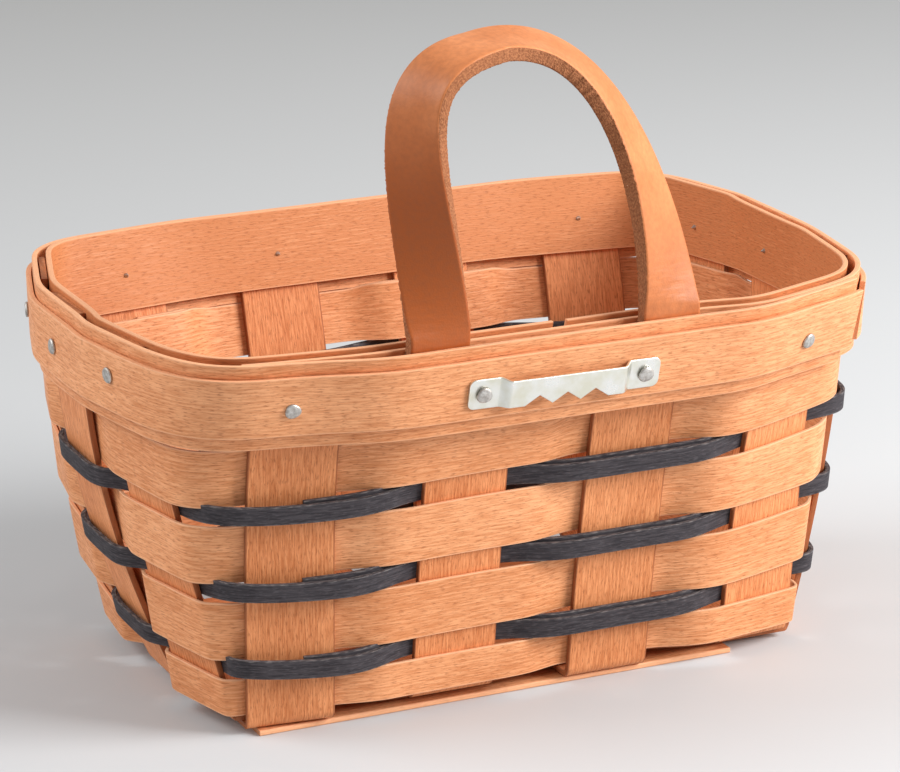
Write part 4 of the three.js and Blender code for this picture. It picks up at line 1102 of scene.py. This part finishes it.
def make_nail(ordinal):
    """Tip, shank and domed head of one nail."""
    base, out, face = nail_frame(ordinal)
    seat = face + NAIL_SEAT + (HANGER_METAL + FIT if ordinal in HANGER_SPLINTS else 0.0)
    tip = (INNER_OFFSET - BAND_THICKNESS / 2) * np.hypot(out[0], out[1]) - NAIL_TIP_OUT
    dome = np.linspace(DOME_START, 1.0, DOME_RINGS) * np.pi / 2
    head = np.stack([NAIL_HEAD_RADIUS * np.cos(dome - DOME_LAG) ** DOME_POWER,
                     seat + NAIL_HEAD_HEIGHT * np.sin(dome)], -1)
    head[-1, 0] = NAIL_HEAD_RADIUS * DOME_TOP
    shank = np.array([[NAIL_POINT_RADIUS, tip], [NAIL_SHANK_RADIUS, tip + NAIL_TIP_OUT],
                      [NAIL_SHANK_RADIUS, seat - NECK_DROP], [NAIL_HEAD_RADIUS * HEAD_UNDERSIDE, seat],
                      [NAIL_HEAD_RADIUS, seat + HEAD_EDGE]])
    profile = np.concatenate([shank, head])
    grid = spun(profile, out, base, rng.uniform(*NAIL_WOBBLES))
    around = np.linspace(0, 2 * np.pi * NAIL_HEAD_RADIUS, NAIL_SIDES + 1)
    node = f"nail_{SPLINT_NAMES[ordinal]}"
    settle(tube_piece(f"{node}_steel", grid, running(profile), around, {}, NAIL_STEEL), node)


for number in range(TURN):
    make_nail(number)
print("nails made:", TURN)

# %% [markdown]
# ## Sawtooth hanger
# A stamped strip of plated steel: two flat ears under the nail heads, and a raised bar between them with
# notches cut in its lower edge. Boolean cuts could make the notches but would leave long thin faces. It is
# the same profile carried along a stepped line, with the lower edge moved by the notches.

# %% Sawtooth hanger
HANGER_LENGTH = 58.0
EAR_HALF = 4.7
EAR_CORNER = 2.0
BAR_HALF = 17.0
BAR_STEP = 3.0
BAR_RISE = 2.2
BAR_TOP = 4.2
BAR_BOTTOM = 4.3
TOOTH_COUNT = 3
TOOTH_PITCH = 8.5
TOOTH_DEPTH = 3.0
HANGER_STATIONS = 465
HANGER_SEAT = 0.05
HANGER_ROUNDING = 0.35


def hanger_edges(u):
    """Upper and lower edge at each place along the hanger: rounded ears, a bar, and notches as a triangle
    wave."""
    past = np.clip(np.abs(u) - (HANGER_LENGTH / 2 - EAR_CORNER), 0.0, EAR_CORNER)
    ear = EAR_HALF - EAR_CORNER + np.sqrt(np.maximum(EAR_CORNER ** 2 - past ** 2, 0.0))
    on_bar = ease((BAR_HALF + BAR_STEP - np.abs(u)) / BAR_STEP)
    tooth = np.abs(np.mod(u / TOOTH_PITCH + TOOTH_COUNT / 2, 1.0) - 0.5) * 2
    notch = np.where(np.abs(u) < TOOTH_COUNT * TOOTH_PITCH / 2, (1 - tooth) * TOOTH_DEPTH, 0.0)
    return mix(ear, BAR_TOP, on_bar), -(mix(ear, BAR_BOTTOM, on_bar) - notch)


def make_hanger():
    """Carries a thin rounded profile along the stepped line of the hanger."""
    left, right = (nail_frame(k) for k in HANGER_SPLINTS)
    out = left[1] + right[1]
    out /= np.linalg.norm(out)
    along = (right[0] - left[0]) / np.linalg.norm(right[0] - left[0])
    up = np.cross(out, along)
    middle = (left[0] + right[0]) / 2
    seat = max(left[2], right[2]) + HANGER_SEAT
    u = np.linspace(-HANGER_LENGTH / 2, HANGER_LENGTH / 2, HANGER_STATIONS)
    rise = BAR_RISE * ease((BAR_HALF + BAR_STEP / 2 - np.abs(u)) / BAR_STEP + 0.5)
    slope = np.gradient(rise, u)
    top, bottom = hanger_edges(u)
    rounding = HANGER_METAL * HANGER_ROUNDING
    wide, deep, _, around = strip_profile(2 * EAR_HALF, HANGER_METAL, rounding, across=5)
    level = (wide / np.ptp(wide) + 0.5)[None, :]
    across = bottom[:, None] + (top - bottom)[:, None] * level
    steep = np.hypot(1.0, slope)[:, None]
    shift = -deep * slope[:, None] / steep
    lift = seat + HANGER_METAL / 2 + rise[:, None] + deep / steep
    grid = middle + (u[:, None] + shift)[..., None] * along + across[..., None] * up + lift[..., None] * out
    piece = tube_piece("sawtooth_hanger_plate", grid, u, around, {}, PLATED_STEEL)
    settle(piece, "sawtooth_hanger")


make_hanger()
print("hanger made, notches:", TOOTH_COUNT)

# %% [markdown]
# ## Leather strap
# One thick strap of saddle leather. Its two tails are clamped between the layers of the outer band, and the
# loop between them leans back and twists, so that the broad face looks forward at the feet and up at the
# crown. A bevelled curve picks its own twist, so the face's direction is worked out along with the line.
# The strap bends at the rim, so it is one surface that follows the basket below the rim and the handle
# above it. Its long cut edges are raw and fibrous, so their points are pushed in and out by a fine noise.

# %% The strap's line
LOOP_RISE = 76.0
LOOP_LEAN_BACK = 7.0
LOOP_LEAN_SIDE = -16.5
LEG_RUN = 44.0
CROWN_RUN = 38.0
LEG_LEAN = 0.237
CROWN_TURN = 0.45
LOOP_TWIST = np.radians(84.6)
TWIST_POWER = 0.574
FLEX_HEIGHT = TAIL_TOP + FIT + STRAP_THICKNESS / 2
PATH_STATIONS = 2000
TAIL_STATIONS = 40
LOOP_STATIONS = 400


def unit(vectors):
    """Each vector divided by its length."""
    return vectors / length_of(vectors)


def square_to(vectors, along):
    """Each vector without its part along a line, at unit length."""
    return unit(vectors - np.sum(vectors * along, -1, keepdims=True) * along)


def leg_place(x):
    """Place on the path of the hanger side that has this x at the rim's middle."""
    places = np.linspace(0, LAST_FRONT + FLAT, PATH_STATIONS)
    point, _ = wall_path(places, RIM_MIDDLE)
    return float(np.interp(x, point[:, 0], places))


LEG_TOPS = [wall_path(leg_place(x), TAIL_TOP) for x in STRAP_LEGS]
LEG_Y = float(np.mean([(point + STRAP_OFFSET * out)[1] for point, out in LEG_TOPS]))


def strap_leg(side):
    """Centre line and face of one half of the strap, from the tail's low end to the crown. The loop is a
    cubic curve from the flex line to the crown; the face turns by a power of the way along it."""
    x = STRAP_LEGS[0 if side < 0 else 1]
    height = np.linspace(TAIL_LOW, TAIL_TOP, TAIL_STATIONS)
    point, out = wall_path(leg_place(x), height)
    tail = np.concatenate([point + STRAP_OFFSET * out, height[:, None]], -1)
    tail_face = np.concatenate([out, np.zeros((len(height), 1))], -1)
    foot = np.array([x, LEG_Y, FLEX_HEIGHT])
    crown = np.array([STRAP_LEGS.mean() + LOOP_LEAN_SIDE, LEG_Y + LOOP_LEAN_BACK, FLEX_HEIGHT + LOOP_RISE])
    foot_pull = foot + LEG_RUN * np.array([0, LEG_LEAN, 1])
    crown_pull = crown + side * CROWN_RUN * np.array([1, CROWN_TURN, 0])
    t = np.linspace(0, 1, LOOP_STATIONS)[:, None]
    loop = (1 - t) ** 3 * foot + 3 * t * (1 - t) ** 2 * foot_pull
    loop = loop + 3 * t * t * (1 - t) * crown_pull + t ** 3 * crown
    along = -side * unit(np.gradient(loop, axis=0))
    front = square_to(np.array([0.0, -1.0, 0.0]), along)
    outward = -np.cross(along, front)
    twist = LOOP_TWIST * t ** TWIST_POWER
    face = np.cos(twist) * front + np.sin(twist) * outward
    return np.concatenate([tail, loop]), np.concatenate([tail_face, face])


print("halves of the strap are", [round(running(strap_leg(side)[0])[-1]) for side in (-1, 1)], "mm long")

# %% Make the strap
STRAP_STEP = 0.45
STRAP_SMOOTH = 9
STRAP_ROUNDING = 0.7
CUT_BORDER, CUT_DEPTH = 0.5, 0.35
BACK_RAWNESS = 0.75
FACE_SWELL = 0.18
FUZZ_DEPTH = 0.1
CREASE_RUN = 22.0
# Painted shade on the left leg: full up to the first share of the strap's length, gone at the second. The
# right foot is darker from its start share on.
LEG_SHADE_FULL = 0.24
LEG_SHADE_END = 0.47
FOOT_DARKENING = 0.7
FOOT_START = 0.66


def evened(rows, run, even):
    """A row of vectors, read at even distances along its run and smoothed."""
    return smoothed(np.stack([np.interp(even, run, rows[:, c]) for c in range(3)], -1), STRAP_SMOOTH)


def make_strap():
    """Joins both halves, spaces the stations evenly, carries the profile along and roughens the cut edges."""
    left, right = strap_leg(-1), strap_leg(1)
    line = np.concatenate([left[0], right[0][::-1][1:]])
    face = np.concatenate([left[1], right[1][::-1][1:]])
    run = running(line)
    even = np.arange(0.0, run[-1], STRAP_STEP)
    line, face = evened(line, run, even), evened(face, run, even)
    along = unit(np.gradient(line, axis=0))
    face = square_to(face, along)
    width = np.cross(along, face)
    wide, deep, _, around = strip_profile(STRAP_WIDTH, STRAP_THICKNESS, STRAP_ROUNDING, across=15, arc=5)
    cut = (np.abs(wide) > STRAP_WIDTH / 2 - CUT_BORDER) & (deep < STRAP_THICKNESS / 2 - CUT_DEPTH)
    raw = np.where(cut, 1.0, np.where(deep < 0, BACK_RAWNESS, 0.0))
    swell = FACE_SWELL * (1 - (2 * wide / STRAP_WIDTH) ** 2) * np.sign(deep)
    fuzz = rng.normal(0.0, FUZZ_DEPTH, (len(even), len(wide))) * np.where(cut, 1.0, 0.0)
    wide_grid = wide + fuzz * np.sign(wide)
    grid = line[:, None] + wide_grid[..., None] * width[:, None]
    grid = grid + (deep + swell)[None, :, None] * face[:, None]
    low_share = ease((FLEX_HEIGHT + CREASE_RUN - line[:, 2]) / CREASE_RUN)
    along_share = even / even[-1]
    # Painted shade along the left leg, plus a darker right foot.
    shade_and_foot_share = 1.0 - ease((along_share - LEG_SHADE_FULL) / (LEG_SHADE_END - LEG_SHADE_FULL))
    shade_and_foot_share += FOOT_DARKENING * ease((along_share - FOOT_START) / (1.0 - FOOT_START))
    marks = {"edge": np.tile(raw, len(even)), "crease": np.repeat(low_share, len(wide)),
             "painted_shade_and_foot_darkening": np.repeat(shade_and_foot_share, len(wide))}
    piece = tube_piece("handle_strap", grid, even, around, marks, LEATHER)
    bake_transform(piece)
    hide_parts("handle_loop", "handle_tail_left", "handle_tail_right")
    return piece


strap = make_strap()
print("strap points:", len(strap.data.vertices))

# %% [markdown]
# ## Floor
# The basket stands on a wide pale sheet with painted light and shade: paler on the right, darker on the
# left, and greyer with distance. A plane would do, but a disc has no corner that could come into view.

# %% Floor
FLOOR_RADIUS = 6.0
FLOOR_CENTRE = 0.001
FLOOR_FIRST_RING = 0.05
FLOOR_RINGS = 40
FLOOR_SIDES = 96
FAR_START, FAR_END = -0.2, 1.3
RIGHT_START, RIGHT_END = -0.2, 0.3
# Painted light and shade on the floor: darker near the left, brighter near the right, greyer far off.
LEFT_PAINTED_SHADE = (0.525, 0.54, 0.555, 1)
RIGHT_PAINTED_LIGHT = (0.66, 0.67, 0.68, 1)
FAR_PAINTED_SHADE = (0.415, 0.412, 0.405, 1)
FLOOR_ROUGHNESS = 0.8


def floor_finish():
    """Pale paper with painted light and shade: light near the basket and on the right, darker on the left,
    greyer with distance.
    """
    material, tree, shader = new_finish("floor_paper")
    place = add_node(tree, "ShaderNodeTexCoord").outputs["Object"]
    parts = add_node(tree, "ShaderNodeSeparateXYZ", [("Vector", place)])
    # Painted shade: the floor turns greyer with distance, and painted light makes it brighter on the right.
    far = spread(tree, parts.outputs["Y"], FAR_START, FAR_END)
    right = spread(tree, parts.outputs["X"], RIGHT_START, RIGHT_END)
    near = blend_colour(tree, right, LEFT_PAINTED_SHADE, RIGHT_PAINTED_LIGHT)
    tree.links.new(blend_colour(tree, far, near, FAR_PAINTED_SHADE), shader.inputs["Base Color"])
    shader.inputs["Roughness"].default_value = FLOOR_ROUGHNESS
    return material


radius = np.concatenate([[FLOOR_CENTRE], np.geomspace(FLOOR_FIRST_RING, FLOOR_RADIUS, FLOOR_RINGS)])
angle = np.linspace(0, 2 * np.pi, FLOOR_SIDES, endpoint=False)
floor_grid = np.stack([radius[:, None] * np.cos(angle), radius[:, None] * np.sin(angle),
                       np.zeros((len(radius), FLOOR_SIDES))], -1)
floor_faces, _, _ = tube_faces(len(radius), FLOOR_SIDES)
all_faces = floor_faces.tolist() + [np.arange(FLOOR_SIDES).tolist()]
flat_map = np.zeros((floor_faces.size + FLOOR_SIDES, 2))
floor = new_piece("floor", floor_grid.reshape(-1, 3), all_faces, flat_map, {}, floor_finish())
print("floor radius:", FLOOR_RADIUS)

# %% [markdown]
# ## Light
# A large soft lamp stands on the right and a weaker one on the left, under an even grey sky. Small lamps
# would cast hard shadows, so both are wide squares.

# %% Light
SKY_COLOUR = (0.92, 0.92, 0.92, 1)
SKY_STRENGTH = 0.5


def way_to(azimuth, elevation):
    """Unit vector to an azimuth from the front, right if positive, and an elevation, both in degrees."""
    a, e = np.radians([azimuth, elevation])
    return np.array([np.sin(a) * np.cos(e), -np.cos(a) * np.cos(e), np.sin(e)])


def soft_lamp(name, azimuth, elevation, distance, size, power):
    """A square lamp that faces the basket from a distance in metres."""
    place = distance * way_to(azimuth, elevation)
    light = bpy.data.lights.new(name, "AREA")
    light.shape = "SQUARE"
    light.size = size
    light.energy = power
    lamp = bpy.data.objects.new(name, light)
    lamp.location = Vector(place) + Vector((0, 0, RIM_TOP * MM / 2))
    lamp.rotation_euler = Vector(place).to_track_quat("Z", "Y").to_euler()
    bpy.context.scene.collection.objects.link(lamp)


soft_lamp("key_lamp", azimuth=51, elevation=29, distance=1.6, size=0.8, power=38.0)
soft_lamp("left_lamp", azimuth=-112, elevation=36, distance=2.0, size=1.1, power=24.0)
sky = bpy.data.worlds.new("sky")
sky.use_nodes = True
sky.node_tree.nodes["Background"].inputs["Color"].default_value = SKY_COLOUR
sky.node_tree.nodes["Background"].inputs["Strength"].default_value = SKY_STRENGTH
bpy.context.scene.world = sky
bpy.context.scene.view_settings.view_transform = "Standard"

# %% [markdown]
# ## Camera
# The camera stands in front and to the left, above the rim, with a long lens. A constraint could aim it,
# but a matrix made of its three axes sets the roll as well.

# %% Camera
FRAME_WIDTH = 900.0
SENSOR = 36.0
CAMERA_FOCUS = 3765.8
CAMERA_AZIMUTH = -23.59
CAMERA_ELEVATION = 17.63
CAMERA_ROLL = np.radians(-0.98)
CAMERA_DISTANCE = 1124.5
CAMERA_SHIFT = (0.62, 58.5)
TARGET_HEIGHT = 60.0
QUARTER_TURN = 90.0
CAMERA_TARGET = np.array([MIDDLE_X, MIDDLE_Y, TARGET_HEIGHT])

back = way_to(CAMERA_AZIMUTH, CAMERA_ELEVATION)
level_right = way_to(CAMERA_AZIMUTH + QUARTER_TURN, 0.0)
level_up = np.cross(back, level_right)
right = np.cos(CAMERA_ROLL) * level_right + np.sin(CAMERA_ROLL) * level_up
up = -np.sin(CAMERA_ROLL) * level_right + np.cos(CAMERA_ROLL) * level_up
lens = bpy.data.cameras.new("camera")
lens.sensor_width = SENSOR
lens.lens = CAMERA_FOCUS / FRAME_WIDTH * SENSOR
lens.shift_x = -CAMERA_SHIFT[0] / FRAME_WIDTH
lens.shift_y = CAMERA_SHIFT[1] / FRAME_WIDTH
camera = bpy.data.objects.new("camera", lens)
turned = Matrix(np.stack([right, up, back], -1).tolist()).to_4x4()
turned.translation = Vector((CAMERA_TARGET + CAMERA_DISTANCE * back) * MM)
camera.matrix_world = turned
bpy.context.scene.collection.objects.link(camera)
bpy.context.scene.camera = camera
print("lens:", round(lens.lens, 1), "mm")
